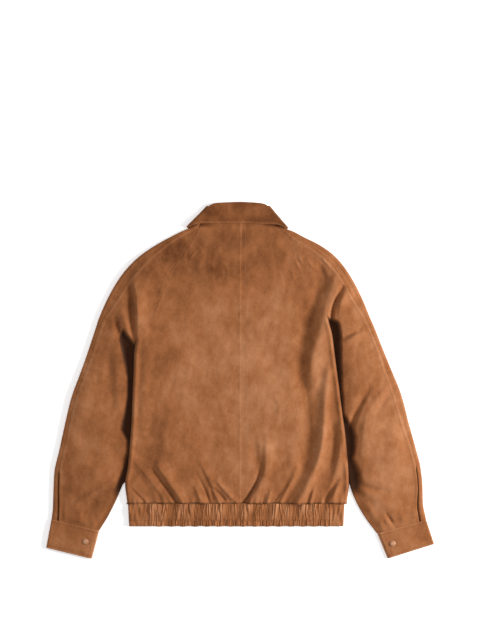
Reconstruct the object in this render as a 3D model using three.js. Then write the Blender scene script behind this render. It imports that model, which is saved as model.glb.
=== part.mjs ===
import * as THREE from 'three';

// A suede blouson laid flat on its front, back up, collar towards +Y.
// Millimetres, +Z up, the surface it lies on is z = 0. Left and right are the wearer's.

// Cloth and seams
const CLOTH = 1.6;             // suede with its backing
const DOUBLE = 2.2;            // doubled suede of hem band and cuffs
const SEAM = 0.3;              // clearance between two pieces
const HALF_SEAM = 0.2;         // what each panel leaves free at an upright seam
const ROLL_GAP = 0.8;          // clearance below an edge that turns down on another piece

// Heights of the layers above the surface
const BACK_TOP = 7.2;          // outer face of the back and of the sleeves' upper side
const SIDE_RISE = 8.5;         // how far the body's sides climb over the sleeves
const SIDE_RAMP = 60;          // width over which they climb
const SIDE_ROLL = 14;          // width of the rounded side of the body
const INNER_ROLL = 12;         // width of the rounded inner edge of a sleeve
const OUTER_ROLL = 8;          // width of the rounded outer edge of a sleeve
const ARMHOLE_DIP = 45;        // length of raglan seam that dips towards the armpit
const LOWEST_BACK = 5.9;       // troughs of the back stay above this

// Front closing
const CENTRE = 3;              // x of the centre-back and centre-front lines
const LAP = 15;                // each front passes the centre line by this much
const STUD_LIFT = 1.3;         // the outer front clears its studs
const LAP_LIFT = STUD_LIFT + CLOTH + 2 * SEAM;
const STUD_ROWS = [265, 150, 35, -80, -195, -296];

// Collar
const COLLAR_TOP = 10;         // outer face of the fall over the back
const COLLAR_TURN = 2.2;       // radius of the fold between fall and stand
const FOLD_GAP = 3.6;          // clearance between fall and stand inside the fold
const LEAF_LIFT = 2 * COLLAR_TURN - CLOTH;

// Hem band and cuffs
const BAND_SEAM_Y = -270.6;
const BAND_BOTTOM_Y = -321;
const BAND_LEFT = -242;
const BAND_RIGHT = 229;
const RUCHED_LEFT = -198;
const RUCHED_RIGHT = 198;
const RUCHES = 45;
const RUCHE_HEIGHT = 2;
const BAND_TOP = 8.6;
const BAND_INSIDE = 6.4;
const CUFF_END_GAP = 7;        // the upper layer stops this far from the inner fold
const CUFF_TAIL = 34;          // length of the under layer below it
const CUFF_TURN = 2.6;
const CUFF_TOP = 8.2;
const STUD_RADIUS = 7.5;
const STUD_HEIGHT = 1.8;
const FRONT_STUD_HEIGHT = 1.0;

// One row per section, from the neck to the cuff.
// y and edge: a point of the raglan seam, and below the armpit of the body's side edge.
// inner: x of the sleeve's inner edge there. outX, outY: the sleeve's outer edge.
// seam: how far the overarm seam lies from that outer edge.
const LEFT = [
  { y: 351, edge: -84, inner: -84, outX: -94.5, outY: 345.5, seam: 9 },
  { y: 331, edge: -94.5, inner: -94.5, outX: -111, outY: 328.5, seam: 9 },
  { y: 322, edge: -99.5, inner: -99.5, outX: -125, outY: 328, seam: 9 },
  { y: 305, edge: -109, inner: -109, outX: -152, outY: 317, seam: 11 },
  { y: 279, edge: -124, inner: -124, outX: -187, outY: 296, seam: 16 },
  { y: 238, edge: -155, inner: -155, outX: -224, outY: 270, seam: 20 },
  { y: 200, edge: -169, inner: -169, outX: -251, outY: 243, seam: 22 },
  { y: 169, edge: -181, inner: -181, outX: -274, outY: 211, seam: 22 },
  { y: 136, edge: -200, inner: -200, outX: -295, outY: 172, seam: 18 },
  { y: 92, edge: -227, inner: -227, outX: -312, outY: 132, seam: 10 },
  { y: 76, edge: -231, inner: -232, outX: -319, outY: 110, seam: 9 },
  { y: 60, edge: -233, inner: -234, outX: -325, outY: 92, seam: 9 },
  { y: 25, edge: -234, inner: -228, outX: -337, outY: 56, seam: 9 },
  { y: -20, edge: -236, inner: -227, outX: -352, outY: 14, seam: 9 },
  { y: -75, edge: -238, inner: -229, outX: -371, outY: -38, seam: 9 },
  { y: -135, edge: -242, inner: -234, outX: -385, outY: -95, seam: 9 },
  { y: -190, edge: -247, inner: -245, outX: -398, outY: -155, seam: 9 },
  { y: -228, edge: -251, inner: -258, outX: -409, outY: -205, seam: 10 },
  { y: -262, inner: -272, outX: -411, outY: -245, seam: 11 },
  { y: -299, inner: -290, outX: -412, outY: -280, seam: 12 },
  { y: -331, inner: -311, outX: -415, outY: -306, seam: 14 },
];
const RIGHT = [
  { y: 351, edge: 74, inner: 74, outX: 83, outY: 345, seam: 9 },
  { y: 331, edge: 93, inner: 93, outX: 100.5, outY: 328, seam: 9 },
  { y: 322, edge: 102, inner: 102, outX: 113, outY: 328.5, seam: 9 },
  { y: 300, edge: 114, inner: 114, outX: 139, outY: 317, seam: 14 },
  { y: 273, edge: 130, inner: 130, outX: 174, outY: 298, seam: 17 },
  { y: 238, edge: 158, inner: 158, outX: 205, outY: 276, seam: 20 },
  { y: 205, edge: 170, inner: 170, outX: 227, outY: 252, seam: 20 },
  { y: 176, edge: 180, inner: 180, outX: 244, outY: 227, seam: 20 },
  { y: 140, edge: 191, inner: 191, outX: 262, outY: 194, seam: 19 },
  { y: 106, edge: 202, inner: 202, outX: 278, outY: 158, seam: 13 },
  { y: 88, edge: 205, inner: 206, outX: 284, outY: 138, seam: 11 },
  { y: 70, edge: 207, inner: 208, outX: 290, outY: 119, seam: 10 },
  { y: 30, edge: 212, inner: 206, outX: 311, outY: 77, seam: 9 },
  { y: -15, edge: 218, inner: 210, outX: 331, outY: 28, seam: 12 },
  { y: -70, edge: 225, inner: 217, outX: 356, outY: -35, seam: 14 },
  { y: -130, edge: 233, inner: 226, outX: 371, outY: -93, seam: 12 },
  { y: -190, edge: 238, inner: 236, outX: 387, outY: -150, seam: 9 },
  { y: -230, edge: 240, inner: 246, outX: 398, outY: -195, seam: 9 },
  { y: -262, inner: 259, outX: 402, outY: -232, seam: 9 },
  { y: -302, inner: 281, outX: 403, outY: -270, seam: 12 },
  { y: -337, inner: 303, outX: 410, outY: -308, seam: 14 },
];
const ARMPIT_ROW = 9;
const NECK_Y = 351.2;
const HEM_EDGE = { left: -246, right: 235 };
const HEM_ROWS = [-246, -260, BAND_SEAM_Y];

// The largest folds of the back and sleeves: a soft ridge (height above 0) or trough
// from (x0, y0) to (x1, y1), with the half width of its cross-section.
const FOLDS = [
  { x0: 189, y0: -51, x1: 180, y1: -180, width: 15, height: 8 },
  { x0: 180, y0: -180, x1: 148, y1: -232, width: 13, height: 7 },
  { x0: 212, y0: -165, x1: 206, y1: -250, width: 10, height: 5 },
  { x0: 158, y0: 158, x1: 141, y1: 35, width: 20, height: -1.2 },
  { x0: 130, y0: 60, x1: 150, y1: -120, width: 24, height: 2.5 },
  { x0: 196, y0: 168, x1: 200, y1: 108, width: 12, height: 4 },
  { x0: 205, y0: 244, x1: 196, y1: 178, width: 15, height: 4 },
  { x0: -236, y0: -169, x1: -190, y1: -226, width: 12, height: 5 },
  { x0: -205, y0: -172, x1: -160, y1: -250, width: 11, height: 4.5 },
  { x0: -81, y0: -178, x1: -44, y1: -246, width: 12, height: 4.5 },
  { x0: 62, y0: -180, x1: 24, y1: -262, width: 10, height: 4 },
  { x0: 128, y0: -205, x1: 98, y1: -262, width: 10, height: 4 },
  { x0: -212, y0: 196, x1: -238, y1: 128, width: 15, height: 4 },
  { x0: -272, y0: 60, x1: -268, y1: -60, width: 16, height: 3.5 },
  { x0: -310, y0: -196, x1: -358, y1: -236, width: 14, height: 3.5 },
  { x0: -300, y0: 70, x1: -340, y1: -60, width: 14, height: 3 },
  { x0: 252, y0: -140, x1: 296, y1: -22, width: 14, height: 6 },
  { x0: 232, y0: 92, x1: 268, y1: 122, width: 10, height: 4 },
  { x0: 300, y0: 20, x1: 330, y1: -110, width: 16, height: 3 },
  { x0: 300, y0: -250, x1: 372, y1: -220, width: 14, height: 3.5 },
];

// Gathers that run up from the hem band: foot, lean of the head, length, half width, height.
const GATHERS = [
  { x: -222, lean: -8, length: 42, width: 5, height: 2.5 },
  { x: -182, lean: -16, length: 50, width: 6, height: 3 },
  { x: -128, lean: -22, length: 60, width: 6, height: 3.5 },
  { x: -104, lean: -8, length: 34, width: 5, height: 2.5 },
  { x: -78, lean: -10, length: 46, width: 5, height: 3 },
  { x: -58, lean: -10, length: 38, width: 4, height: 3 },
  { x: -30, lean: -14, length: 44, width: 5, height: 3 },
  { x: -8, lean: -6, length: 30, width: 4, height: 2.5 },
  { x: 34, lean: 12, length: 54, width: 5, height: 3 },
  { x: 58, lean: 8, length: 36, width: 4, height: 2.5 },
  { x: 92, lean: 14, length: 56, width: 6, height: 3.5 },
  { x: 124, lean: 18, length: 60, width: 6, height: 3.5 },
  { x: 154, lean: 12, length: 40, width: 5, height: 3 },
  { x: 178, lean: 12, length: 52, width: 6, height: 3.5 },
  { x: 206, lean: 6, length: 44, width: 5, height: 3 },
];

// The collar as a flattened ring, one row per station from the left leaf's front edge round
// the back to the right leaf's. edge: outer edge of the fall. fold: where fall meets stand.
// neck: the neck seam. turn: which way the outer face looks, 90 up on the upper side, 0 aside
// at the side fold, -90 down on the underside.
const LEFT_SIDE = { edgeX: -110.4, edgeY: 331.5, foldX: -60.4, foldY: 382.5, neckX: -95.5, neckY: 347.5 };
const RIGHT_SIDE = { edgeX: 98.2, edgeY: 329.8, foldX: 53.2, foldY: 382.8, neckX: 84, neckY: 346.6 };
const COLLAR = [
  { edgeX: -62, edgeY: 258, foldX: -3, foldY: 320, neckX: -6, neckY: 300, turn: -90 },
  { edgeX: -80, edgeY: 283, foldX: -22, foldY: 334, neckX: -36, neckY: 306, turn: -90 },
  { edgeX: -97, edgeY: 310, foldX: -43, foldY: 360, neckX: -66, neckY: 321, turn: -90 },
  { edgeX: -105, edgeY: 322, foldX: -55, foldY: 376, neckX: -85, neckY: 353.5, turn: -90 },
  { ...LEFT_SIDE, turn: -90 },
  { ...LEFT_SIDE, turn: -60 },
  { ...LEFT_SIDE, turn: -30 },
  { ...LEFT_SIDE, turn: 0 },
  { ...LEFT_SIDE, turn: 30 },
  { ...LEFT_SIDE, turn: 60 },
  { edgeX: -108, edgeY: 336, foldX: -58, foldY: 384.5, neckX: -88, neckY: 352, turn: 90 },
  { edgeX: -88, edgeY: 344.5, foldX: -46, foldY: 388.5, neckX: -70, neckY: 351.5, turn: 90 },
  { edgeX: -45, edgeY: 345, foldX: -23, foldY: 391, neckX: -36, neckY: 351.5, turn: 90 },
  { edgeX: 0, edgeY: 345, foldX: 1, foldY: 392, neckX: 0, neckY: 351.5, turn: 90 },
  { edgeX: 40, edgeY: 343.5, foldX: 22, foldY: 391, neckX: 36, neckY: 351.5, turn: 90 },
  { edgeX: 80, edgeY: 342, foldX: 42, foldY: 388, neckX: 66, neckY: 351.5, turn: 90 },
  { edgeX: 96.5, edgeY: 334.5, foldX: 51, foldY: 384.5, neckX: 78, neckY: 352, turn: 90 },
  { ...RIGHT_SIDE, turn: 60 },
  { ...RIGHT_SIDE, turn: 30 },
  { ...RIGHT_SIDE, turn: 0 },
  { ...RIGHT_SIDE, turn: -30 },
  { ...RIGHT_SIDE, turn: -60 },
  { ...RIGHT_SIDE, turn: -90 },
  { edgeX: 97, edgeY: 321, foldX: 49, foldY: 376, neckX: 73, neckY: 353.5, turn: -90 },
  { edgeX: 95, edgeY: 310, foldX: 42, foldY: 360, neckX: 66, neckY: 321, turn: -90 },
  { edgeX: 83, edgeY: 283, foldX: 26, foldY: 334, neckX: 41, neckY: 306, turn: -90 },
  { edgeX: 67, edgeY: 258, foldX: 9, foldY: 320, neckX: 12, neckY: 300, turn: -90 },
];

// Corners of the cuffs: upper and lower end of the outer and of the inner fold.
const CUFFS = {
  left: {
    upperOut: [-415, -306], upperIn: [-311.2, -331],
    lowerOut: [-426.1, -367.4], lowerIn: [-325.6, -388.5], stud: [-338.8, -356],
  },
  right: {
    upperOut: [410, -308], upperIn: [303.2, -337],
    lowerOut: [426.8, -359.5], lowerIn: [325.2, -391.6], stud: [335.5, -360],
  },
};

const SUEDE = { color: 0xa26b46, roughness: 0.95, metalness: 0 };
const COLLAR_SUEDE = { color: 0x8c5a38, roughness: 0.95, metalness: 0 };
const BAND_SUEDE = { color: 0x97633f, roughness: 0.95, metalness: 0 };
const STUD_FINISH = { color: 0x7d4e30, roughness: 0.5, metalness: 0.2 };

const jacket = new THREE.Group();

function clamp01(value) {
  return Math.min(1, Math.max(0, value));
}

function smooth(value) {
  const t = clamp01(value);
  return t * t * (3 - 2 * t);
}

function mix(a, b, t) {
  return a + (b - a) * t;
}

// A quarter-round drop: 0 away from the edge, 1 at it.
function roundDrop(distance, width) {
  const t = 1 - clamp01(distance / width);
  return 1 - Math.sqrt(1 - t * t);
}

// Closes a grid of outer points into a wall of the given thickness.
// facing is 1 where the outward normal is (along a row) x (from row to row), else -1.
function wall(grid, thickness, facing) {
  const rows = grid.length;
  const columns = grid[0].length;
  const along = new THREE.Vector3();
  const up = new THREE.Vector3();
  const normal = new THREE.Vector3();
  const outer = [];
  const inner = [];
  for (let i = 0; i < rows; i += 1) {
    for (let j = 0; j < columns; j += 1) {
      const point = grid[i][j];
      along.subVectors(grid[i][Math.min(j + 1, columns - 1)], grid[i][Math.max(j - 1, 0)]);
      up.subVectors(grid[Math.min(i + 1, rows - 1)][j], grid[Math.max(i - 1, 0)][j]);
      normal.crossVectors(along, up).normalize().multiplyScalar(facing * thickness);
      outer.push(point.x, point.y, point.z);
      inner.push(point.x - normal.x, point.y - normal.y, point.z - normal.z);
    }
  }
  return close([...outer, ...inner], rows, columns, facing);
}

// Joins an outer and an inner grid, given one after the other, into one closed body.
function close(positions, rows, columns, facing) {
  const index = [];
  const shift = rows * columns;
  const quad = (a, b, c, d) => {
    if (facing > 0) index.push(a, b, c, a, c, d);
    else index.push(a, c, b, a, d, c);
  };
  for (let i = 0; i + 1 < rows; i += 1) {
    for (let j = 0; j + 1 < columns; j += 1) {
      const a = i * columns + j;
      const d = a + columns;
      quad(a, a + 1, d + 1, d);
      quad(a + shift, d + shift, d + 1 + shift, a + 1 + shift);
    }
  }
  for (let j = 0; j + 1 < columns; j += 1) {
    const top = (rows - 1) * columns + j;
    quad(j, j + shift, j + 1 + shift, j + 1);
    quad(top, top + 1, top + 1 + shift, top + shift);
  }
  for (let i = 0; i + 1 < rows; i += 1) {
    const first = i * columns;
    const last = first + columns - 1;
    quad(first, first + columns, first + columns + shift, first + shift);
    quad(last, last + shift, last + columns + shift, last + columns);
  }
  const geometry = new THREE.BufferGeometry();
  geometry.setAttribute('position', new THREE.Float32BufferAttribute(positions, 3));
  geometry.setIndex(index);
  return geometry;
}

function add(name, geometry, finish) {
  const mesh = new THREE.Mesh(geometry, new THREE.MeshStandardMaterial(finish));
  mesh.name = name;
  jacket.add(mesh);
  return mesh;
}

// Height that one fold adds at (x, y): a bell across it, fading at both ends.
function foldAt(fold, x, y) {
  const dx = fold.x1 - fold.x0;
  const dy = fold.y1 - fold.y0;
  const length = Math.hypot(dx, dy);
  const along = ((x - fold.x0) * dx + (y - fold.y0) * dy) / length;
  const across = ((x - fold.x0) * dy - (y - fold.y0) * dx) / length;
  const beyond = Math.max(0, -along, along - length);
  const reach = Math.hypot(across, beyond) / fold.width;
  return fold.height * Math.exp(-reach * reach);
}

// A gather fades from its foot at the band up to its leaning head.
function gatherAt(gather, x, y) {
  const t = (y - BAND_SEAM_Y) / gather.length;
  if (t < 0 || t > 1) return 0;
  const across = (x - gather.x - gather.lean * t) / gather.width;
  return gather.height * (1 - t) * (1 - t) * Math.exp(-across * across);
}

// Outer face of the cloth on the upper side, before its edges turn down.
function reliefAt(x, y) {
  let height = 0;
  for (const fold of FOLDS) height += foldAt(fold, x, y);
  for (const gather of GATHERS) height += gatherAt(gather, x, y);
  return height;
}

// How far the body's side edge has risen over the sleeve at height y.
function riseAt(y, armpit) {
  return SIDE_RISE * smooth((armpit - 5 - y) / 40) * smooth((y + 262) / 70);
}

// 0 where back and sleeve meet level at the raglan seam, 1 from the armpit down.
function openAt(y, armpit) {
  return smooth((armpit + ARMHOLE_DIP - y) / ARMHOLE_DIP);
}

function bodyTop(x, y, distance, armpit) {
  const open = openAt(y, armpit);
  const rise = riseAt(y, armpit);
  const calm = 1 - open * (1 - smooth(distance / 25));
  const climb = rise * (1 - smooth(distance / SIDE_RAMP));
  const top = Math.max(LOWEST_BACK, BACK_TOP + reliefAt(x, y) * calm) + climb;
  const end = rise + CLOTH + ROLL_GAP;
  return mix(top, end, open * roundDrop(distance, SIDE_ROLL));
}

function sleeveTop(x, y, distance, rowY, armpit) {
  const open = openAt(rowY, armpit);
  const calm = 1 - open * (1 - smooth((distance - 10) / 25));
  const top = Math.max(LOWEST_BACK, BACK_TOP + reliefAt(x, y) * calm);
  return mix(top, CLOTH + ROLL_GAP, open * roundDrop(distance, INNER_ROLL));
}

// Underside of the fronts and of the sleeves where the collar leaves lie below them.
function leafLift(x, y) {
  const aside = Math.abs(x - CENTRE);
  return LEAF_LIFT * smooth((y - 222) / 26) * smooth((aside - 14) / 14) * smooth((150 - aside) / 25);
}

function bodyRows(table, hemEdge) {
  const rows = table.filter((row) => row.edge !== undefined).map((row) => ({ y: row.y, edge: row.edge }));
  const last = rows[rows.length - 1];
  for (const y of HEM_ROWS) {
    rows.push({ y, edge: mix(last.edge, hemEdge, (last.y - y) / (last.y - BAND_SEAM_Y)) });
  }
  return rows;
}

// Half of the back, from the centre seam to the raglan seam and the side.
function backHalf(side, table) {
  const armpit = table[ARMPIT_ROW].y;
  const edgeSteps = [40, 26, SIDE_ROLL, 9.5, 5.5, 2.4, 0.6, 0];
  const inside = 11;
  const grid = bodyRows(table, HEM_EDGE[side > 0 ? 'right' : 'left']).map(({ y, edge }, order) => {
    const from = CENTRE + side * HALF_SEAM;
    const to = edge - side * HALF_SEAM;
    const reach = Math.abs(to - from);
    const scale = Math.min(1, reach / 120);
    const line = [];
    for (let j = 0; j < inside; j += 1) {
      line.push(mix(reach, edgeSteps[0] * scale, j / inside));
    }
    for (const step of edgeSteps) line.push(step * scale);
    return line.map((distance) => {
      const x = to - side * distance;
      const level = order === 0 ? NECK_Y : y;
      return new THREE.Vector3(x, level, bodyTop(x, level, distance, armpit));
    });
  });
  return wall(grid, CLOTH, -side);
}

// The neckline of a front: how far from the centre line it starts at each height.
const NECKLINE = [
  { y: 331, start: 83 },
  { y: 318, start: 66 },
  { y: 304, start: 42 },
  { y: 297, start: -LAP },
];

function edgeAt(rows, y) {
  const next = rows.findIndex((row) => row.y <= y);
  const above = rows[next - 1];
  return mix(above.edge, rows[next].edge, (above.y - y) / (above.y - rows[next].y));
}

// A front lies face down. It climbs at the side and over the collar's leaf, and the
// wearer's left front laps outside the right one along the centre line.
function frontHalf(side, table) {
  const armpit = table[ARMPIT_ROW].y;
  const isOuter = side < 0;
  const all = bodyRows(table, HEM_EDGE[isOuter ? 'left' : 'right']);
  const neckRows = NECKLINE.map(({ y, start }) => ({ y, start, edge: edgeAt(all, y) }));
  const lower = all.filter((row) => row.y < 290).map((row) => ({ ...row, start: -LAP }));
  const grid = [...neckRows, ...lower].map(({ y, edge, start: fromLine }) => {
    const start = CENTRE + side * fromLine;
    const end = edge - side * HALF_SEAM;
    const reach = Math.abs(end - start);
    const steps = [1, 0.93, 0.86, 0.78, 0.62, 0.45, 0.28].map((share) => share * reach);
    const ramp = Math.min(1, reach / 220);
    steps.push(45 * ramp, 30 * ramp, 15 * ramp, 0);
    return steps.map((distance) => {
      const x = end - side * distance;
      const fromCentre = side * (x - CENTRE);
      const lap = isOuter
        ? STUD_LIFT * smooth((42 - Math.abs(fromCentre)) / 18)
        : LAP_LIFT * smooth((42 - fromCentre) / 18);
      const climb = riseAt(y, armpit) * (1 - smooth(distance / SIDE_RAMP));
      return new THREE.Vector3(x, y, Math.max(lap, leafLift(x, y), climb));
    });
  });
  return wall(grid, CLOTH, side);
}

function sleeveLine(row, side) {
  const inner = new THREE.Vector2(row.inner + side * HALF_SEAM, row.y);
  const outer = new THREE.Vector2(row.outX, row.outY);
  const length = inner.distanceTo(outer);
  const direction = outer.clone().sub(inner).divideScalar(length);
  return { inner, outer, length, direction };
}

function sleeveBack(side, table) {
  const armpit = table[ARMPIT_ROW].y;
  const grid = table.map((row) => {
    const { inner, length, direction } = sleeveLine(row, side);
    const far = length - Math.min(row.seam, length * 0.6) - SEAM;
    const near = Math.min(1, far / 60);
    const steps = [0, 0.6, 2.4, 6, INNER_ROLL].map((step) => step * near);
    const rest = 8;
    for (let j = 1; j <= rest; j += 1) steps.push(mix(INNER_ROLL * near, far, j / rest));
    return steps.map((distance) => {
      const x = inner.x + direction.x * distance;
      const y = inner.y + direction.y * distance;
      return new THREE.Vector3(x, y, sleeveTop(x, y, distance, row.y, armpit));
    });
  });
  return wall(grid, CLOTH, -side);
}

// From the overarm seam round the outer edge, then along the underside to the inner edge.
function sleeveFront(side, table) {
  const armpit = table[ARMPIT_ROW].y;
  const grid = table.map((row) => {
    const { inner, outer, length, direction } = sleeveLine(row, side);
    const seam = Math.min(row.seam, length * 0.6);
    const roll = Math.min(OUTER_ROLL, seam - 0.5);
    const path = [];
    const place = (fromOuter, z) => {
      const x = outer.x - direction.x * fromOuter;
      const y = outer.y - direction.y * fromOuter;
      path.push(new THREE.Vector3(x, y, z ?? leafLift(x, y)));
    };
    const seamX = outer.x - direction.x * seam;
    const seamY = outer.y - direction.y * seam;
    const top = sleeveTop(seamX, seamY, length - seam, row.y, armpit);
    const bottom = leafLift(outer.x, outer.y);
    const middle = (top + bottom) / 2;
    place(seam, top);
    for (let turn = 90; turn >= -90; turn -= 30) {
      const angle = THREE.MathUtils.degToRad(turn);
      const fromOuter = roll * (1 - Math.cos(angle));
      place(fromOuter, middle + (top - middle) * Math.sin(angle));
    }
    const flat = 4;
    for (let j = 1; j <= flat; j += 1) place(mix(roll, length, j / flat));
    return path;
  });
  return wall(grid, CLOTH, -side);
}

function collarStation(row) {
  const angle = THREE.MathUtils.degToRad(row.turn);
  const edge = new THREE.Vector2(row.edgeX, row.edgeY);
  const fold = new THREE.Vector2(row.foldX, row.foldY);
  const neck = new THREE.Vector2(row.neckX, row.neckY);
  const along = fold.clone().sub(edge).normalize();
  const side = row.edgeX < CENTRE ? -1 : 1;
  const aside = new THREE.Vector2(along.y * side, -along.x * side);
  const half = COLLAR_TOP / 2;
  const out = new THREE.Vector3(aside.x * Math.cos(angle), aside.y * Math.cos(angle), Math.sin(angle));
  const base = (point) => new THREE.Vector3(point.x, point.y, half).addScaledVector(out, half);
  return { edge: base(edge), fold: base(fold), neck: base(neck), out };
}

// The fall, from its outer edge up to the fold and half round it.
function collarFall() {
  const grid = COLLAR.map((row) => {
    const { edge, fold, out } = collarStation(row);
    const along = fold.clone().sub(edge).normalize();
    const start = fold.clone().addScaledVector(along, -COLLAR_TURN);
    const line = [];
    const steps = 5;
    for (let j = 0; j < steps; j += 1) line.push(edge.clone().lerp(start, j / steps));
    for (let turn = 0; turn <= 180; turn += 30) {
      const angle = THREE.MathUtils.degToRad(turn);
      line.push(start.clone()
        .addScaledVector(out, COLLAR_TURN * (Math.cos(angle) - 1))
        .addScaledVector(along, COLLAR_TURN * Math.sin(angle)));
    }
    return line;
  });
  return wall(grid, CLOTH, -1);
}

// The stand carries on from the fold down to the neck seam.
function collarStand() {
  const grid = COLLAR.map((row) => {
    const { edge, fold, neck, out } = collarStation(row);
    const along = fold.clone().sub(edge).normalize();
    const depth = 2 * COLLAR_TURN - CLOTH;
    const top = fold.clone().addScaledVector(along, -COLLAR_TURN - FOLD_GAP).addScaledVector(out, -depth);
    const foot = neck.clone().addScaledVector(out, -depth);
    const steps = 3;
    const line = [];
    for (let j = 0; j <= steps; j += 1) line.push(foot.clone().lerp(top, j / steps));
    return line;
  });
  return wall(grid, CLOTH, -1);
}

// The elasticated part of the band: a wave in its outer face for each ruche, flattest
// along the seam and along the stitched channel at the bottom edge.
function bandBack() {
  const stops = [
    { y: BAND_SEAM_Y - SEAM, wave: 0.4 },
    { y: BAND_SEAM_Y - 14, wave: 1 },
    { y: BAND_SEAM_Y - 37, wave: 0.5 },
    { y: BAND_BOTTOM_Y, wave: 0.7 },
  ];
  const perRuche = 4;
  const outer = [];
  const inner = [];
  const left = RUCHED_LEFT + HALF_SEAM;
  const width = RUCHED_RIGHT - HALF_SEAM - left;
  for (const stop of stops) {
    for (let j = 0; j <= RUCHES * perRuche; j += 1) {
      const share = j / (RUCHES * perRuche);
      const x = left + width * share;
      const uneven = 0.75 + 0.25 * Math.sin(share * 37);
      const wave = 0.5 - 0.5 * Math.cos((2 * Math.PI * j) / perRuche);
      outer.push(x, stop.y, BAND_TOP - 0.4 + RUCHE_HEIGHT * stop.wave * uneven * wave);
      inner.push(x, stop.y, BAND_INSIDE);
    }
  }
  return close([...outer, ...inner], stops.length, RUCHES * perRuche + 1, -1);
}

// A plain part of the band: from the ruched part round the side to the front edge.
function bandFront(side, ruchedEnd, sideEdge) {
  const isOuter = side < 0;
  const half = BAND_TOP / 2;
  const lift = isOuter ? STUD_LIFT : STUD_LIFT + DOUBLE + 2 * SEAM;
  const path = [[ruchedEnd + side * HALF_SEAM, BAND_TOP], [mix(ruchedEnd, sideEdge, 0.5), BAND_TOP]];
  for (let turn = 90; turn >= -90; turn -= 30) {
    const angle = THREE.MathUtils.degToRad(turn);
    path.push([sideEdge - side * half * (1 - Math.cos(angle)), half + half * Math.sin(angle)]);
  }
  const rampOut = CENTRE + side * 70;
  const rampIn = CENTRE + side * 40;
  path.push([mix(sideEdge, rampOut, 0.5), 0], [rampOut, 0], [rampIn, lift], [CENTRE - side * LAP, lift]);
  const grid = [];
  const rows = 3;
  for (let i = 0; i <= rows; i += 1) {
    const y = mix(BAND_SEAM_Y - SEAM, BAND_BOTTOM_Y, i / rows);
    grid.push(path.map(([x, z]) => new THREE.Vector3(x, y, z)));
  }
  return wall(grid, DOUBLE, -side);
}

// A cuff is one strip: under layer, inner fold, underside, outer fold, upper layer.
function cuff(side, corners) {
  const { upperOut, upperIn, lowerOut, lowerIn } = corners;
  const width = Math.hypot(upperIn[0] - upperOut[0], upperIn[1] - upperOut[1]);
  const half = CUFF_TOP / 2;
  const tailTop = 2 * CUFF_TURN;
  const path = [[width - CUFF_TAIL, tailTop], [width - CUFF_TAIL / 2, tailTop]];
  for (let turn = 90; turn >= -90; turn -= 30) {
    const angle = THREE.MathUtils.degToRad(turn);
    path.push([width - CUFF_TURN * (1 - Math.cos(angle)), CUFF_TURN * (1 + Math.sin(angle))]);
  }
  path.push([width * 0.5, 0]);
  for (let turn = -90; turn <= 90; turn += 30) {
    const angle = THREE.MathUtils.degToRad(turn);
    path.push([half * (1 - Math.cos(angle)), half * (1 + Math.sin(angle))]);
  }
  path.push([width * 0.35, CUFF_TOP], [width * 0.65, CUFF_TOP], [width - CUFF_END_GAP, CUFF_TOP]);
  const rows = 3;
  const grid = [];
  for (let i = 0; i <= rows; i += 1) {
    const share = mix(0.006, 1, i / rows);
    grid.push(path.map(([across, z]) => {
      const t = across / width;
      const x = mix(mix(upperOut[0], upperIn[0], t), mix(lowerOut[0], lowerIn[0], t), share);
      const y = mix(mix(upperOut[1], upperIn[1], t), mix(lowerOut[1], lowerIn[1], t), share);
      return new THREE.Vector3(x, y, z);
    }));
  }
  return wall(grid, DOUBLE, side);
}

// A press stud's cap: a disc with a rounded rim.
function studCap(height) {
  const profile = [
    [0, 0], [STUD_RADIUS, 0], [STUD_RADIUS, height * 0.5], [STUD_RADIUS - 1.4, height], [0, height],
  ].map(([r, z]) => new THREE.Vector2(r, z));
  return new THREE.LatheGeometry(profile, 16).rotateX(Math.PI / 2);
}

add('back_left', backHalf(-1, LEFT), SUEDE);
add('back_right', backHalf(1, RIGHT), SUEDE);
add('front_left', frontHalf(-1, LEFT), SUEDE);
add('front_right', frontHalf(1, RIGHT), SUEDE);
add('sleeve_back_left', sleeveBack(-1, LEFT), SUEDE);
add('sleeve_back_right', sleeveBack(1, RIGHT), SUEDE);
add('sleeve_front_left', sleeveFront(-1, LEFT), SUEDE);
add('sleeve_front_right', sleeveFront(1, RIGHT), SUEDE);
add('collar_fall', collarFall(), COLLAR_SUEDE);
add('collar_stand', collarStand(), COLLAR_SUEDE);
add('hem_band_back', bandBack(), BAND_SUEDE);
add('hem_band_left', bandFront(-1, RUCHED_LEFT, BAND_LEFT), BAND_SUEDE);
add('hem_band_right', bandFront(1, RUCHED_RIGHT, BAND_RIGHT), BAND_SUEDE);
add('cuff_left', cuff(-1, CUFFS.left), SUEDE);
add('cuff_right', cuff(1, CUFFS.right), SUEDE);

for (const name of ['left', 'right']) {
  const [x, y] = CUFFS[name].stud;
  add(`stud_cuff_${name}`, studCap(STUD_HEIGHT), STUD_FINISH).position.set(x, y, CUFF_TOP + SEAM);
}

STUD_ROWS.forEach((y, order) => {
  const cap = add(`stud_front_${order + 1}`, studCap(FRONT_STUD_HEIGHT), STUD_FINISH);
  cap.position.set(CENTRE, y, 0);
});

export default jacket;
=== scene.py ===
"""A suede blouson laid flat on its front, back up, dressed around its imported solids.

Tables and formulas are in millimetres, in the frame of the solids: +X to the wearer's right,
+Y towards the collar, +Z up from the surface. Meshes are made in metres.
"""
import logging
import math
from dataclasses import dataclass, field
from enum import Enum

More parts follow.
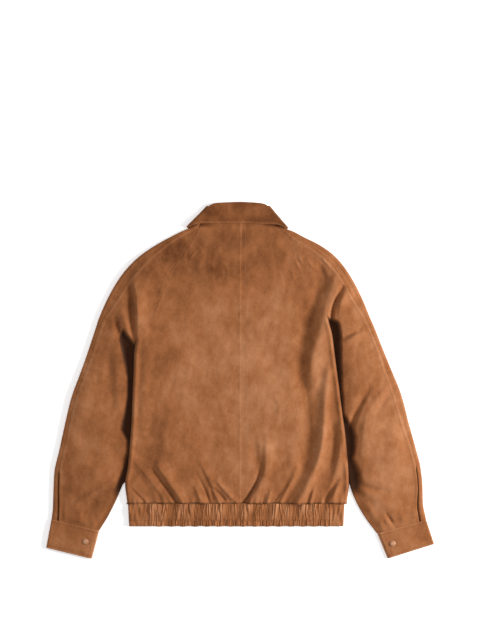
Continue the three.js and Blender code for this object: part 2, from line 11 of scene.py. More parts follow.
import bpy
import numpy as np
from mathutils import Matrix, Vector


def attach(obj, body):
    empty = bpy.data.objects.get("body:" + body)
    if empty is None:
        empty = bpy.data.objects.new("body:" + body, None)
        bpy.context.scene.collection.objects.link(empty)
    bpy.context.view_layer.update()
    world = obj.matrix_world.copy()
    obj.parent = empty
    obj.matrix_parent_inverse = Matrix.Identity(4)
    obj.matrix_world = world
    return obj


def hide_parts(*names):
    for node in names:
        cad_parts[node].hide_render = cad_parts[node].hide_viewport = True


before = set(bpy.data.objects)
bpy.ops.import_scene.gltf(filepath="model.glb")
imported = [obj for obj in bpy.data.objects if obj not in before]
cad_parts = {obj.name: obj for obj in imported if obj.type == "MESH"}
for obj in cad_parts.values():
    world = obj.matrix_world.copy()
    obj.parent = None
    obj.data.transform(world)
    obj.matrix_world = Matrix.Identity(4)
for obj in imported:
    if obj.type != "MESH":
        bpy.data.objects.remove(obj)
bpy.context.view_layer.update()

LOG = logging.getLogger("suede_jacket")
MM = 0.001
Section = dict[str, np.ndarray]  # sections of a sleeve, one array per measure

# Cloth and seams, as in the solids
CLOTH = 1.6
DOUBLE = 2.2
SEAM = 0.3
HALF_SEAM = 0.06
ROLL_GAP = 0.8

# Heights of the layers
BACK_TOP = 7.2
SIDE_RISE = 8.5
SIDE_RAMP = 60.0
SIDE_ROLL = 6.0
SIDE_END_Y = -262.0
OUTER_ROLL = 8.0
LOWEST_BACK = 4.2
BODY_CROWN = 7.0
SLEEVE_CROWN = 9.5
CALM_FROM_Y, CALM_SPAN = 316.0, 20.0

# Front closing, collar, band and cuffs
CENTRE = 3.0
LAP = 15.0
LAP_END, LAP_RAMP = 42.0, 18.0
STUD_LIFT = 1.3
LAP_LIFT = STUD_LIFT + CLOTH + 2 * SEAM
COLLAR_TOP = 10.0
COLLAR_TURN = 2.2
FOLD_GAP = 3.6
LEAF_LIFT = 2 * COLLAR_TURN - CLOTH
NECK_Y = 351.2
BAND_SEAM_Y = -270.6
BAND_BOTTOM_Y = -322.0
BAND_LEFT, BAND_RIGHT = -245.5, 229.0
RUCHED_LEFT, RUCHED_RIGHT = -198.0, 198.0
RUCHES = 45
BAND_TOP = 8.6
BAND_INSIDE = 6.4
CHANNEL_Y = -309.5
CUFF_DEPTH = 61.0
CUFF_END_GAP = 5.0
CUFF_TAIL = 34.0
CUFF_TURN = 2.9
CUFF_TOP = 8.2
SLIT_TOP = -218.0
SLIT_GAP = 2.0
STUD_RADIUS = 7.5
ARMPIT_ROW = 9
RAGLAN_WELT = {"left": 0.4, "right": 0.15}

# One row per section of a sleeve, from the neck to the cuff: a point of the raglan seam (y, edge),
# and below the armpit of the body's side edge; the x of the sleeve's inner edge; its outer edge;
# and how far the overarm seam lies inside that outer edge.
NO_EDGE = float("nan")
SIDE_COLUMNS = ("y", "edge", "inner", "out_x", "out_y", "seam")
LEFT_ROWS = (
    (351, -84, -84, -94.5, 345.5, 9), (331, -94.5, -94.5, -115, 333, 9),
    (322, -99.5, -99.5, -127, 328, 9), (305, -109, -109, -152, 315.5, 11),
    (279, -124, -124, -187, 296, 16), (238, -155, -155, -224, 270, 20),
    (200, -169, -169, -251, 243, 22), (169, -181, -181, -274, 211, 22),
    (136, -200, -200, -295, 172, 18), (92, -227, -227, -312, 132, 10),
    (76, -231, -231, -319, 110, 9), (60, -233, -227.5, -325, 92, 9),
    (25, -234, -223, -337, 56, 9), (-20, -236, -224, -352, 14, 9),
    (-75, -238, -227, -371, -38, 9), (-135, -242, -234, -385, -95, 9),
    (-190, -247, -245, -398, -155, 9), (-228, -253, -258, -409, -205, 10),
    (-262, NO_EDGE, -272, -411, -245, 11), (-299, NO_EDGE, -290, -412, -280, 12),
    (-331.5, NO_EDGE, -310, -415, -306, 14),
)
RIGHT_ROWS = (
    (351, 74, 74, 83, 345, 9), (331, 93, 93, 103.5, 332, 9),
    (322, 102, 102, 114, 328.5, 9), (300, 114, 114, 139, 315.5, 14),
    (273, 130, 130, 174, 298, 17), (238, 158, 158, 205, 276, 20),
    (205, 170, 170, 227, 252, 20), (176, 180, 180, 244, 227, 20),
    (140, 191, 191, 262, 194, 19), (106, 202, 202, 278, 158, 13),
    (88, 205, 205, 286, 138, 11), (70, 207, 202.5, 295, 118, 10),
    (30, 212, 202, 311, 77, 9), (-15, 218, 207, 331, 28, 12),
    (-70, 225, 217, 356, -35, 14), (-130, 233, 226, 371, -93, 12),
    (-190, 238, 236, 387, -150, 9), (-230, 240, 242, 398, -195, 9),
    (-262, NO_EDGE, 253, 402, -232, 9), (-302, NO_EDGE, 275, 403, -270, 12),
    (-337.5, NO_EDGE, 301.5, 410, -308, 14),
)
LAST_BODY_ROW = 17
# Where body and sleeve part at the armpit: the height at which that begins, and its stretch
ARMPIT_OPENING = {"left": (97.0, 26.0), "right": (136.0, 20.0)}
# The line under which the sleeve sinks beside the body: x and y of its two ends, and its softness
SINK_LINE = {"left": (-232.0, 76.0, -270.0, 126.0, 9.0), "right": (196.0, 134.0, 226.0, 124.0, 7.0)}
HEM_EDGE = {"left": -248.5, "right": 235.0}
NECKLINE = ((331, 83), (318, 66), (304, 42), (297, -LAP))

# The collar as a flattened ring, from the left leaf's front edge round the back to the right
# leaf's: the fall's outer edge, the fold, the neck seam, and the angle of the outer face.
COLLAR_COLUMNS = ("edge_x", "edge_y", "fold_x", "fold_y", "neck_x", "neck_y", "turn")
LEFT_SIDE = (-113.5, 333, -69, 381, -95.5, 347.5)
RIGHT_SIDE = (102, 331, 61, 381.5, 84, 346.6)
COLLAR_ROWS = (
    (-62, 258, -3, 320, -6, 300, -90), (-80, 283, -22, 334, -36, 306, -90),
    (-97, 310, -43, 360, -66, 321, -90), (-105, 322, -55, 376, -85, 353.5, -90),
    *((*LEFT_SIDE, turn) for turn in (-90, -60, -30, 0, 30, 60)),
    (-109, 337, -63.5, 386.5, -88, 352, 90), (-88, 344.5, -51, 389.8, -70, 351.5, 90),
    (-45, 345, -23, 391.2, -36, 351.5, 90), (0, 345, 1, 392, 0, 351.5, 90),
    (40, 343.5, 22, 391.2, 36, 351.5, 90), (80, 342, 44, 389.6, 66, 351.5, 90),
    (98, 334.5, 55.5, 386.8, 78, 352, 90),
    *((*RIGHT_SIDE, turn) for turn in (60, 30, 0, -30, -60, -90)),
    (97, 321, 49, 376, 73, 353.5, -90), (95, 310, 42, 360, 66, 321, -90),
    (83, 283, 26, 334, 41, 306, -90), (67, 258, 9, 320, 12, 300, -90),
)


class Side(Enum):
    """The wearer's left or right; the value is the sign of its x."""

    LEFT = -1
    RIGHT = 1

    @property
    def word(self) -> str:
        """The side's name as the nodes spell it."""
        return self.name.lower()


@dataclass(frozen=True)
class Fold:
    """A crease along a line of points, listed from its upper end to its lower one.

    Its section is a bell with one half width towards the wearer's left and one towards the
    right; its height, negative for a trough, is full at the middle and scaled by head and
    foot at the ends.
    """

    line: tuple[tuple[float, float], ...]
    height: float
    left: float
    right: float
    head: float = 0.5
    foot: float = 0.5

    def smooth_line(self) -> np.ndarray:
        """Cuts the line's corners twice, at a quarter and three quarters of each span.

        Returns:
            The points of the smoother line.
        """
        line = np.array(self.line, float)
        for _ in range(2):
            near, far = line[:-1], line[1:]
            cut = np.stack([0.75 * near + 0.25 * far, 0.25 * near + 0.75 * far], 1).reshape(-1, 2)
            line = np.concatenate([line[:1], cut[1:-1], line[-1:]]) if len(line) > 2 else line
        return line

    def add_to(self, total: np.ndarray, x: np.ndarray, y: np.ndarray) -> None:
        """Adds the fold's height to the places that it reaches.

        The distance is the least one to the line's spans; a bell of it gives the height,
        and its width goes from the left one to the right one round the line's ends.

        Args:
            total: heights to add to, flat.
            x: places across, flat, in millimetres.
            y: places along, flat.
        """
        line = self.smooth_line()
        reach = 2.6 * max(self.left, self.right)
        low, high = line.min(0) - reach, line.max(0) + reach
        near = np.flatnonzero((x > low[0]) & (x < high[0]) & (y > low[1]) & (y < high[1]))
        if not len(near):
            return
        step = np.diff(line, axis=0)
        length = np.hypot(step[:, 0], step[:, 1])
        start = np.concatenate([[0], np.cumsum(length)])
        best = np.full(len(near), 1e9)
        across = np.zeros(len(near))
        share = np.zeros(len(near))
        for k in range(len(step)):
            dx, dy = x[near] - line[k, 0], y[near] - line[k, 1]
            way_x, way_y = step[k] / length[k]
            along = np.clip(dx * way_x + dy * way_y, 0, length[k])
            side = dy * way_x - dx * way_y
            away = np.hypot(dx - along * way_x, dy - along * way_y)
            closer = away < best
            best = np.where(closer, away, best)
            across = np.where(closer, side, across)
            share = np.where(closer, (start[k] + along) / start[-1], share)
        lean = 0.5 + 0.5 * np.clip(across / np.maximum(best, 1e-6), -1, 1)
        width = blend(self.left, self.right, lean)
        upper = self.head + (1 - self.head) * smooth(2 * share)
        lower = self.foot + (1 - self.foot) * smooth(2 - 2 * share)
        total[near] += self.height * np.minimum(upper, lower) * bell(best, 0, width)


# The main creases of the back and the sleeves, placed along the photo's.
FOLDS = (
    # right half of the back: the folds from the armhole down to the band
    Fold(((207, 216), (194, 176), (179, 110), (164, 62), (158, 13)), 8.5, 13, 26,
         head=0.7, foot=0.4),
    Fold(((163, 88), (156, 44), (160, -8)), 3.5, 9, 16),
    Fold(((194, 18), (187, -33), (183, -110), (176, -165), (158, -211), (139, -251), (130, -272)),
         10, 10, 11, head=0.5, foot=0.8),
    Fold(((139, 4), (148, -44), (155, -132), (144, -187), (121, -231), (101, -270)), -3.5, 16, 7,
         foot=1),
    Fold(((220, -99), (222, -154), (211, -198), (200, -242)), 6, 7, 12),
    Fold(((206, -100), (208, -154), (198, -192)), -3.5, 7, 5),
    Fold(((222, -220), (200, -264)), 5, 5, 8, foot=1),
    Fold(((211, -222), (188, -268)), -3.5, 5, 4, foot=1),
    Fold(((178, 238), (172, 194), (156, 158), (145, 121)), -4.5, 14, 9),
    Fold(((57, -100), (58, -176), (53, -216), (23, -268)), 4.5, 6, 15, head=0.1, foot=0.8),
    Fold(((49, -184), (37, -229), (8, -270)), -4.5, 4.5, 3, foot=1),
    Fold(((125, -194), (110, -229), (86, -264)), 4, 6, 9, foot=0.8),
    Fold(((113, -212), (97, -240), (74, -268)), -2.6, 6, 3.5, foot=1),
    Fold(((165, -235), (154, -266)), 4, 4, 6, foot=1),
    Fold(((68, -242), (62, -268)), 2.8, 4, 4, foot=1),
    Fold(((112, -150), (118, -205)), 1.8, 9, 16),
    Fold(((30, -120), (36, -176), (46, -204)), -2.6, 12, 8, head=0.2, foot=0.6),
    Fold(((140, 84), (132, 36), (138, -20)), -3.2, 14, 8),
    Fold(((158, 150), (148, 108), (134, 84)), -3.0, 12, 8),
    Fold(((176, 250), (188, 226), (184, 200)), -2.6, 7, 5),
    # left half of the back
    Fold(((-180, -189), (-154, -227), (-127, -266)), 4.6, 4.5, 13, foot=0.9),
    Fold(((-192, -198), (-165, -233), (-138, -270)), -3.2, 4.5, 3, foot=1),
    Fold(((-237, -172), (-200, -214), (-163, -264)), 2.6, 5, 9, foot=0.8),
    Fold(((-240, -189), (-207, -229), (-185, -264)), -1.0, 6, 4),
    Fold(((-190, -203), (-164, -236), (-137, -272)), -3.2, 2.2, 2.2, foot=1),
    Fold(((44, -208), (31, -238), (7, -272)), -3.4, 2.2, 2.2, foot=1),
    Fold(((-76, -240), (-66, -272)), -2.2, 2.6, 2.6, foot=1),
    Fold(((-56, -238), (-38, -254), (-28, -272)), -2.2, 2.6, 2.6, foot=1),
    Fold(((104, -232), (82, -272)), -2.0, 2.6, 2.6, foot=1),
    Fold(((156, -244), (150, -272)), -2.0, 2.6, 2.6, foot=1),
    Fold(((54, -252), (50, -272)), -2.0, 2.6, 2.6, foot=1),
    Fold(((-238, -240), (-211, -268)), -2.6, 3, 2.4, foot=1),
    Fold(((-90, -172), (-70, -220), (-48, -264)), 3.2, 4.5, 12, head=0.2, foot=0.9),
    Fold(((-96, -206), (-79, -236), (-66, -268)), -2.2, 3, 2.6, foot=1),
    Fold(((-84, -196), (-62, -240), (-58, -268)), -2.4, 3, 3, foot=1),
    Fold(((-51, -222), (-15, -264)), 4, 3.5, 7, foot=0.9),
    Fold(((-62, -236), (-34, -262)), -2.6, 3, 2.6, foot=1),
    Fold(((-97, -238), (-86, -266)), 3, 4, 5, foot=1),
    Fold(((-158, -44), (-163, -132), (-174, -189)), 2.4, 12, 22),
    Fold(((-205, 110), (-209, 0), (-213, -110)), 2.2, 9, 13),
    Fold(((-128, 40), (-122, -40), (-132, -110)), 1.3, 14, 20),
    # upper back
    Fold(((-78, 300), (-92, 262), (-84, 226)), 1.8, 10, 12),
    Fold(((-52, 296), (-40, 262)), 1.2, 8, 9),
    Fold(((78, 300), (104, 276), (126, 262)), 1.6, 8, 10),
    Fold(((-150, 262), (-196, 236), (-226, 226)), 1.8, 8, 12),
    Fold(((-101, 300), (-88, 289), (-80, 272)), 1.3, 2.6, 4),
    Fold(((-90, 291), (-104, 276), (-112, 262)), 1.2, 2.6, 4),
    Fold(((-119, 286), (-126, 258)), 1.2, 3, 5),
    Fold(((-70, 268), (-58, 246), (-60, 226)), 1.0, 3, 5),
    Fold(((-40, 262), (-26, 244), (-30, 222)), 1.0, 3, 5),
    Fold(((-140, 226), (-116, 216), (-92, 220)), 0.9, 4, 4),
    Fold(((-166, 244), (-150, 214)), 1.0, 3, 6),
    Fold(((110, 301), (141, 291), (161, 283)), 1.4, 3, 4),
    Fold(((150, 294), (180, 281), (205, 259)), 1.4, 3, 4),
    Fold(((130, 271), (137, 253)), 1.5, 2.4, 3),
    Fold(((123, 259), (132, 242)), 1.3, 2.4, 3),
    Fold(((146, 268), (158, 248), (172, 240)), 1.3, 2.6, 4),
    Fold(((176, 274), (198, 246)), 1.5, 3, 5),
    Fold(((112, 246), (118, 220)), 1.0, 3, 5),
    Fold(((-176, 178), (-184, 150), (-192, 132)), 0.9, 2.2, 3),
    Fold(((-88, 178), (-60, 170)), 0.6, 5, 5),
    Fold(((-56, -30), (-40, -52), (-34, -76)), 0.8, 4, 5),
    Fold(((-96, -74), (-84, -100)), 0.8, 4, 5),
    Fold(((74, -30), (86, -58), (84, -92)), 0.8, 4, 6),
    # left sleeve
    Fold(((-233, 214), (-226, 180), (-224, 140), (-225, 96)), 8, 4.5, 22, foot=0.7),
    Fold(((-243, 203), (-239, 175), (-239, 146), (-234, 112), (-231, 82)), -7.5, 10, 4.5,
         head=0.5, foot=0.25),
    Fold(((-260, 150), (-250, 128), (-240, 96)), 4, 7, 7, foot=0.8),
    Fold(((-274, 136), (-270, 118), (-264, 96)), -6, 7, 6, head=0.4, foot=1),
    Fold(((-271, 66), (-268, 0), (-268, -55)), 2.6, 8, 10),
    Fold(((-290, 62), (-286, 0), (-282, -48)), -2.2, 12, 8),
    Fold(((-246, -88), (-256, -112), (-262, -128)), -4, 12, 10),
    Fold(((-279, -222), (-312, -242), (-336, -258), (-367, -280)), 2.8, 7, 5),
    Fold(((-286, -240), (-318, -262), (-340, -290)), -2.6, 6, 12),
    Fold(((-330, 40), (-352, -60), (-366, -140)), 2.4, 14, 20),
    Fold(((-310, -150), (-322, -190), (-352, -224)), -1.5, 12, 12),
    Fold(((-384, -282), (-386, -304)), 1.6, 5, 6, foot=1),
    Fold(((-352, -292), (-350, -318)), 1.8, 6, 6, foot=1),
    Fold(((-326, -300), (-322, -326)), 1.5, 5, 6, foot=1),
    # right sleeve
    Fold(((226, 205), (212, 180), (202, 152), (201, 128)), -9, 4.5, 4, foot=1),
    Fold(((238, 200), (222, 172), (218, 146)), 4.5, 5, 14),
    Fold(((264, 112), (243, 102), (222, 91)), -3.4, 3, 3.5),
    Fold(((268, 103), (244, 92), (226, 82)), 4.6, 4, 10),
    Fold(((285, -16), (264, -55), (248, -90), (240, -132), (236, -170)), -8, 8, 5.5,
         head=0.3, foot=0.8),
    Fold(((298, -40), (280, -72), (272, -110), (268, -160)), 4, 8, 26, head=0.3),
    Fold(((318, -22), (296, -44)), 2.4, 6, 10),
    Fold(((334, -22), (304, -66)), -2.2, 8, 6),
    Fold(((346, -44), (340, -110), (346, -180)), 2.6, 20, 18),
    Fold(((244, -222), (272, -236), (322, -245)), -4.5, 7, 8, head=0.8),
    Fold(((250, -248), (280, -262), (300, -284)), -2.4, 9, 9, head=0.8),
    Fold(((318, -304), (329, -322)), 3, 5, 5, foot=1),
    Fold(((322, -294), (331, -308), (345, -328)), -3.6, 3, 3, foot=1),
    Fold(((352, -298), (362, -318)), 2.0, 4, 7, foot=1),
    Fold(((308, -306), (315, -331)), 2.2, 5, 5, foot=1),
    Fold(((382, -280), (384, -312)), 2.2, 7, 6, foot=1),
    Fold(((292, -262), (330, -280), (372, -276)), 1.6, 10, 10),
)

# How the sleeve sinks beside the body, from the cuff up: y, the width that lies flat on the
# front panel, and the width over which it climbs from there to its full height.
HOLLOWS = {
    "left": ((-320, 0, 18), (-220, 1, 16), (-160, 0, 15), (-138, 3, 16), (-118, 18, 17),
             (-99, 19, 17), (-44, 14, 15), (0, 17, 14), (33, 24, 13), (66, 28, 12), (88, 28, 12),
             (126, 34, 10)),
    "right": ((-320, 0, 20), (-286, 0, 24), (-242, 2, 30), (-209, 6, 26), (-176, 5, 16),
              (-154, 12, 18), (-132, 15, 20), (-99, 8, 18), (-77, 2, 12), (-44, 5, 14),
              (0, 11, 13), (40, 15, 12),
              (66, 14, 12), (88, 13, 11), (110, 15, 10), (128, 13, 10), (145, 8, 12)),
}

# Gathers that run up from the hem band: foot x, lean of the head, length, half width, height.
GATHERS = (
    (-232, -2, 34, 4, 2.4), (-222, -8, 42, 5, 2.6), (-206, -10, 30, 4, 2.0),
    (-182, -16, 50, 6, 3.2), (-166, -12, 34, 4, 2.2), (-150, -18, 44, 4, 2.6),
    (-128, -22, 60, 6, 3.5), (-115, -14, 30, 3.5, 2.2),
    (-104, -8, 36, 4.5, 2.6), (-90, -10, 28, 4, 2.0), (-78, -10, 46, 5, 3.0), (-66, -6, 26, 3, 2.0),
    (-57, -10, 40, 4, 3.0), (-45, -12, 30, 3.5, 2.2), (-30, -14, 46, 5, 3.2), (-18, -8, 26, 3, 1.8),
    (-7, -6, 32, 4, 2.5), (10, 6, 26, 3.5, 2.0), (21, 10, 34, 4, 2.4), (34, 12, 54, 5, 3.2),
    (46, 8, 28, 3.5, 2.2), (58, 8, 38, 4, 2.6), (72, 12, 30, 3.5, 2.2), (92, 14, 56, 6, 3.6),
    (106, 12, 30, 4, 2.2), (124, 18, 60, 6, 3.6), (140, 10, 30, 4, 2.4), (154, 12, 42, 5, 3.0),
    (167, 8, 28, 3.5, 2.0), (179, 12, 54, 6, 3.6), (193, 6, 30, 4, 2.2), (207, 6, 46, 5, 3.2),
    (222, 2, 34, 4, 2.6),
)

# Where the nap lies lighter (amount above 0) or darker, and where light or shade is painted:
# painted shade
# # in creases and in the crevices at the armholes, painted light over the right sleeve: x, y,
# radius along x and y, amount.
NAP_AND_SHADE_PATCHES = (
    (10, 60, 120, 130, 0.12), (-20, 262, 140, 60, -0.13), (-190, 235, 90, 70, -0.13),
    (20, -120, 150, 90, 0.07), (388, -90, 40, 120, 0.04), (255, 190, 50, 70, 0.04),
    (-330, -60, 60, 120, 0.03), (-205, 20, 26, 150, -0.06), (205, -60, 24, 120, -0.05),
    (-395, -300, 60, 70, -0.02), (350, -330, 60, 60, 0.02), (0, 322, 120, 34, -0.12),
    (-155, -160, 60, 70, -0.10), (262, 85, 45, 70, 0.12), (325, -90, 60, 110, 0.11),
    (355, -235, 50, 60, 0.08), (-305, -275, 50, 36, -0.07), (-165, 285, 60, 30, -0.06),
    (-110, -40, 60, 90, 0.05), (95, 40, 50, 110, 0.03), (-262, 10, 16, 120, -0.16),
    (232, -10, 14, 110, -0.12), (-238, 168, 11, 34, -0.22), (154, 138, 18, 40, -0.15),
    (138, 62, 18, 44, -0.14), (144, 0, 12, 44, -0.10), (158, -90, 11, 62, -0.12),
    (-62, 366, 24, 12, -0.12), (24, 366, 40, 16, 0.07), (-150, 292, 34, 20, -0.08),
    (-96, 288, 16, 12, 0.09), (-128, 268, 40, 24, -0.09), (134, 256, 20, 18, 0.08),
    (-290, -255, 26, 40, -0.14), (-160, 60, 26, 40, -0.07), (-186, 60, 30, 70, -0.06),
    (340, -250, 26, 60, 0.03), (-36, 232, 60, 22, -0.06), (60, 268, 34, 20, -0.06),
    (288, -280, 22, 46, 0.10), (180, -20, 12, 60, 0.10),
)


def smooth(value: np.ndarray) -> np.ndarray:
    """Eases from 0 to 1 with level ends: 3t^2 - 2t^3 of the clipped value."""
    t = np.clip(value, 0, 1)
    return t * t * (3 - 2 * t)


def blend(a: np.ndarray, b: np.ndarray, t: np.ndarray) -> np.ndarray:
    """Goes straight from a to b as t goes from 0 to 1."""
    return a + (b - a) * t


def round_drop(distance: np.ndarray, width: float) -> np.ndarray:
    """A quarter round: 0 away from an edge, 1 at it, upright at the edge itself."""
    t = 1 - np.clip(distance / width, 0, 1)
    return 1 - np.sqrt(np.maximum(0, 1 - t * t))


def bell(distance: np.ndarray, at: float, width: float) -> np.ndarray:
    """A bump of height 1 at a distance: exp(-((distance - at) / width)^2)."""
    return np.exp(-(((distance - at) / width) ** 2))


def neck_calm(y: np.ndarray) -> np.ndarray:
    """1 over most of the jacket, fading to 0 at the neck, where the seam holds the cloth flat."""
    return 1 - smooth((y - CALM_FROM_Y) / CALM_SPAN)


def groove(distance: np.ndarray, at: float, width: float, depth: float) -> np.ndarray:
    """A narrow valley of the given depth and half width, at a distance from an edge."""
    return -depth * bell(distance, at, width)


def unit(vectors: np.ndarray) -> np.ndarray:
    """The vectors of the last axis, each at length 1."""
    return vectors / np.linalg.norm(vectors, axis=-1, keepdims=True)


def points_of(x: np.ndarray, y: np.ndarray, z: np.ndarray) -> np.ndarray:
    """Points from their coordinates, each spread over the whole grid."""
    return np.stack(np.broadcast_arrays(x, y, z), -1)


def curve_through(knots: np.ndarray, values: np.ndarray, at: np.ndarray) -> np.ndarray:
    """A smooth curve through table values that never overshoots them.

    Each span is a cubic whose end slopes are the harmonic mean of the neighbouring
    spans' slopes, or level where those turn.

    Args:
        knots: rising positions of the values.
        values: one value at each knot.
        at: positions to read.

    Returns:
        The curve's value at each position.
    """
    step = np.diff(knots)
    slope = np.diff(values) / step
    tangent = np.empty_like(values)
    same = slope[:-1] * slope[1:] > 0
    safe = np.where(same, slope[:-1] + slope[1:], 1)
    tangent[1:-1] = np.where(same, 2 * slope[:-1] * slope[1:] / safe, 0)
    tangent[0], tangent[-1] = slope[0], slope[-1]
    span = np.clip(np.searchsorted(knots, at, side="right") - 1, 0, len(step) - 1)
    t = np.clip((at - knots[span]) / step[span], 0, 1)
    t2, t3 = t * t, t * t * t
    return (
        (2 * t3 - 3 * t2 + 1) * values[span] + (t3 - 2 * t2 + t) * step[span] * tangent[span]
        + (3 * t2 - 2 * t3) * values[span + 1] + (t3 - t2) * step[span] * tangent[span + 1]
    )


def ripple(x: np.ndarray, y: np.ndarray, waves: tuple[tuple[float, ...], ...]) -> np.ndarray:
    """Sums slanting sine waves, each (length, direction in degrees, height, shift).

    Args:
        x: places across, in millimetres.
        y: places along, in millimetres.
        waves: the waves.

    Returns:
        Their sum at each place.
    """
    total = np.zeros(np.broadcast(x, y).shape)
    for length, direction, height, shift in waves:
        angle = math.radians(direction)
        along = x * math.cos(angle) + y * math.sin(angle)
        total = total + height * np.sin(2 * math.pi * along / length + shift)
    return total


SOFT_WAVES = (
    (210, 12, 0.7, 0.4), (164, 68, 0.55, 1.9), (127, -34, 0.5, 2.7), (98, 47, 0.35, 0.2),
    (83, -71, 0.3, 4.1), (71, 5, 0.25, 5.0),
)
CRUMPLE_WAVES = (
    (43, 31, 0.16, 0.3), (37, -52, 0.15, 2.2), (29, 78, 0.12, 4.0), (23, -11, 0.10, 1.2),
    (17, 58, 0.07, 5.2), (14, -38, 0.06, 3.3),
)
FRONT_WAVES = ((150, 20, 0.8, 1.0), (97, 70, 0.6, 2.0), (61, -40, 0.4, 0.5))
UNDERSLEEVE_WAVES = ((130, 30, 0.9, 0.2), (84, -50, 0.6, 1.4))
COLLAR_WAVES = ((74, 8, 0.35, 0.6), (52, 40, 0.2, 2.0), (23, -20, 0.1, 1))
BAND_WAVES = ((13, 12, 0.45, 1), (8.3, -14, 0.35, 2), (21, 35, 0.5, 3))


@dataclass
class Relief:
    """What raises or lowers the cloth of the upper side."""

    folds: tuple[Fold, ...] = FOLDS
    gathers: tuple[tuple[float, ...], ...] = GATHERS

    def creases(self, x: np.ndarray, y: np.ndarray) -> np.ndarray:
        """Sum of all folds, and of the gathers above the band.

        A gather is a bell across its leaning line that fades with the square of the way up.

        Args:
            x: places across, in millimetres.
            y: places along, in millimetres.

        Returns:
            The height at each place.
        """
        total = np.zeros(np.broadcast(x, y).shape)
        flat = total.ravel()
        across, along = (np.broadcast_to(part, total.shape).ravel() for part in (x, y))
        for fold in self.folds:
            fold.add_to(flat, across, along)
        total = flat.reshape(total.shape)
        up = (y - BAND_SEAM_Y)
        for foot, lean, length, width, height in self.gathers:
            t = np.clip(up / length, -0.05, 1)
            across = (x - foot - lean * t) / (width * (1 + 0.7 * t))
            total = total + height * (1 - t) ** 2 * np.exp(-across * across)
        return total

    def at(self, x: np.ndarray, y: np.ndarray) -> np.ndarray:
        """Creases, the slow swell of the leather and its fine crumple together."""
        return self.creases(x, y) + ripple(x, y, SOFT_WAVES) + ripple(x, y, CRUMPLE_WAVES)


RELIEF = Relief()


def nap_and_painted_light_tone(x: np.ndarray, y: np.ndarray) -> np.ndarray:
    """How light the nap lies, and where light and shade are painted, from soft oval patches.

    Args:
        x: places across, in millimetres.
        y: places along, in millimetres.

    Returns:
        A shift of tone, about -0.3 to 0.3.
    """
    total = np.zeros(np.broadcast(x, y).shape)
    for px, py, rx, ry, amount in NAP_AND_SHADE_PATCHES:
        total = total + amount * np.exp(-(((x - px) / rx) ** 2) - ((y - py) / ry) ** 2)
    return total


def crease_painted_shading(x: np.ndarray, y: np.ndarray) -> np.ndarray:
    """Painted highlight on a ridge and painted shade in a trough, by 0.014 a millimetre up to 8 mm.
    """
    return 0.014 * np.clip(RELIEF.creases(x, y), -8, 8)


@dataclass
class SidePlan:
    """The plan of one side: raglan seam, body edge and sleeve, as smooth curves."""

    side: Side
    sign: int = field(init=False)
    table: dict[str, np.ndarray] = field(init=False)
    armpit: float = field(init=False)
    knots: np.ndarray = field(init=False)
    body_y: np.ndarray = field(init=False)
    body_edge: np.ndarray = field(init=False)

    def __post_init__(self) -> None:
        """Reads the table's columns and sets the knots of the curves."""
        self.sign = self.side.value
        rows = np.array(LEFT_ROWS if self.side is Side.LEFT else RIGHT_ROWS, float)
        self.table = dict(zip(SIDE_COLUMNS, rows.T))
        self.armpit = self.table["y"][ARMPIT_ROW]
        middle_x = (self.table["inner"] + self.table["out_x"]) / 2
        middle_y = (self.table["y"] + self.table["out_y"]) / 2
        steps = np.hypot(np.diff(middle_x), np.diff(middle_y))
        self.knots = np.concatenate([[0], np.cumsum(steps)])
        last = LAST_BODY_ROW + 1
        self.body_y = np.concatenate([self.table["y"][:last], [BAND_SEAM_Y]])[::-1]
        edge = [*self.table["edge"][:last], HEM_EDGE[self.side.word]]
        self.body_edge = np.array(edge)[::-1]
        no_edge = np.isnan(self.table["edge"])
        no_edge[LAST_BODY_ROW] = True
        self.table["base"] = np.where(no_edge, self.table["inner"], self.table["edge"])
        self.table["tuck"] = self.table["inner"] - self.table["base"]

    @property
    def length(self) -> float:
        """Length of the sleeve along its middle, in millimetres."""
        return float(self.knots[-1])

    def edge_at(self, y: np.ndarray) -> np.ndarray:
        """x of the raglan seam, and below the armpit of the body's side edge, at height y."""
        return curve_through(self.body_y, self.body_edge, y)

    def line(self, t: np.ndarray) -> Section:
        """A section of the sleeve at t millimetres along it.

        Args:
            t: positions along the sleeve.

        Returns:
            The inner point (x, y), the direction (dx, dy) to the outer edge, the section's
            length and the distance of the overarm seam from the outer edge.
        """
        columns = ("y", "tuck", "out_x", "out_y", "seam")
        read = {name: curve_through(self.knots, self.table[name], t) for name in columns}
        base = curve_through(self.table["y"][::-1], self.table["base"][::-1], read["y"])
        x = base + read["tuck"] - self.sign * HALF_SEAM
        dx, dy = read["out_x"] - x, read["out_y"] - read["y"]
        length = np.hypot(dx, dy)
        seam = np.minimum(read["seam"], length * 0.6)
        way = {"dx": dx / length, "dy": dy / length}
        return {"x": x, "y": read["y"], **way, "length": length, "seam": seam}

    def open_at(self, y: np.ndarray) -> np.ndarray:
        """0 where back and sleeve meet level at the raglan seam, 1 from the armpit down."""
        top, span = ARMPIT_OPENING[self.side.word]
        return smooth((top - y) / span)

    def welt(self, distance: np.ndarray, opening: np.ndarray) -> np.ndarray:
        """The raised line beside the raglan seam, gone where body and sleeve have parted."""
        return RAGLAN_WELT[self.side.word] * bell(distance, 3, 3) * (1 - opening)

    def crown_at(self, y: np.ndarray) -> np.ndarray:
        """How far body and sleeve swell at the raglan seam at height y, none at the neck."""
        return BODY_CROWN * (1 - smooth((y - 272) / 56))

    def rise_at(self, y: np.ndarray) -> np.ndarray:
        """How far the body's side edge has climbed over the sleeve at height y."""
        return SIDE_RISE * smooth((self.armpit - 5 - y) / 40) * smooth((y - SIDE_END_Y) / 70)


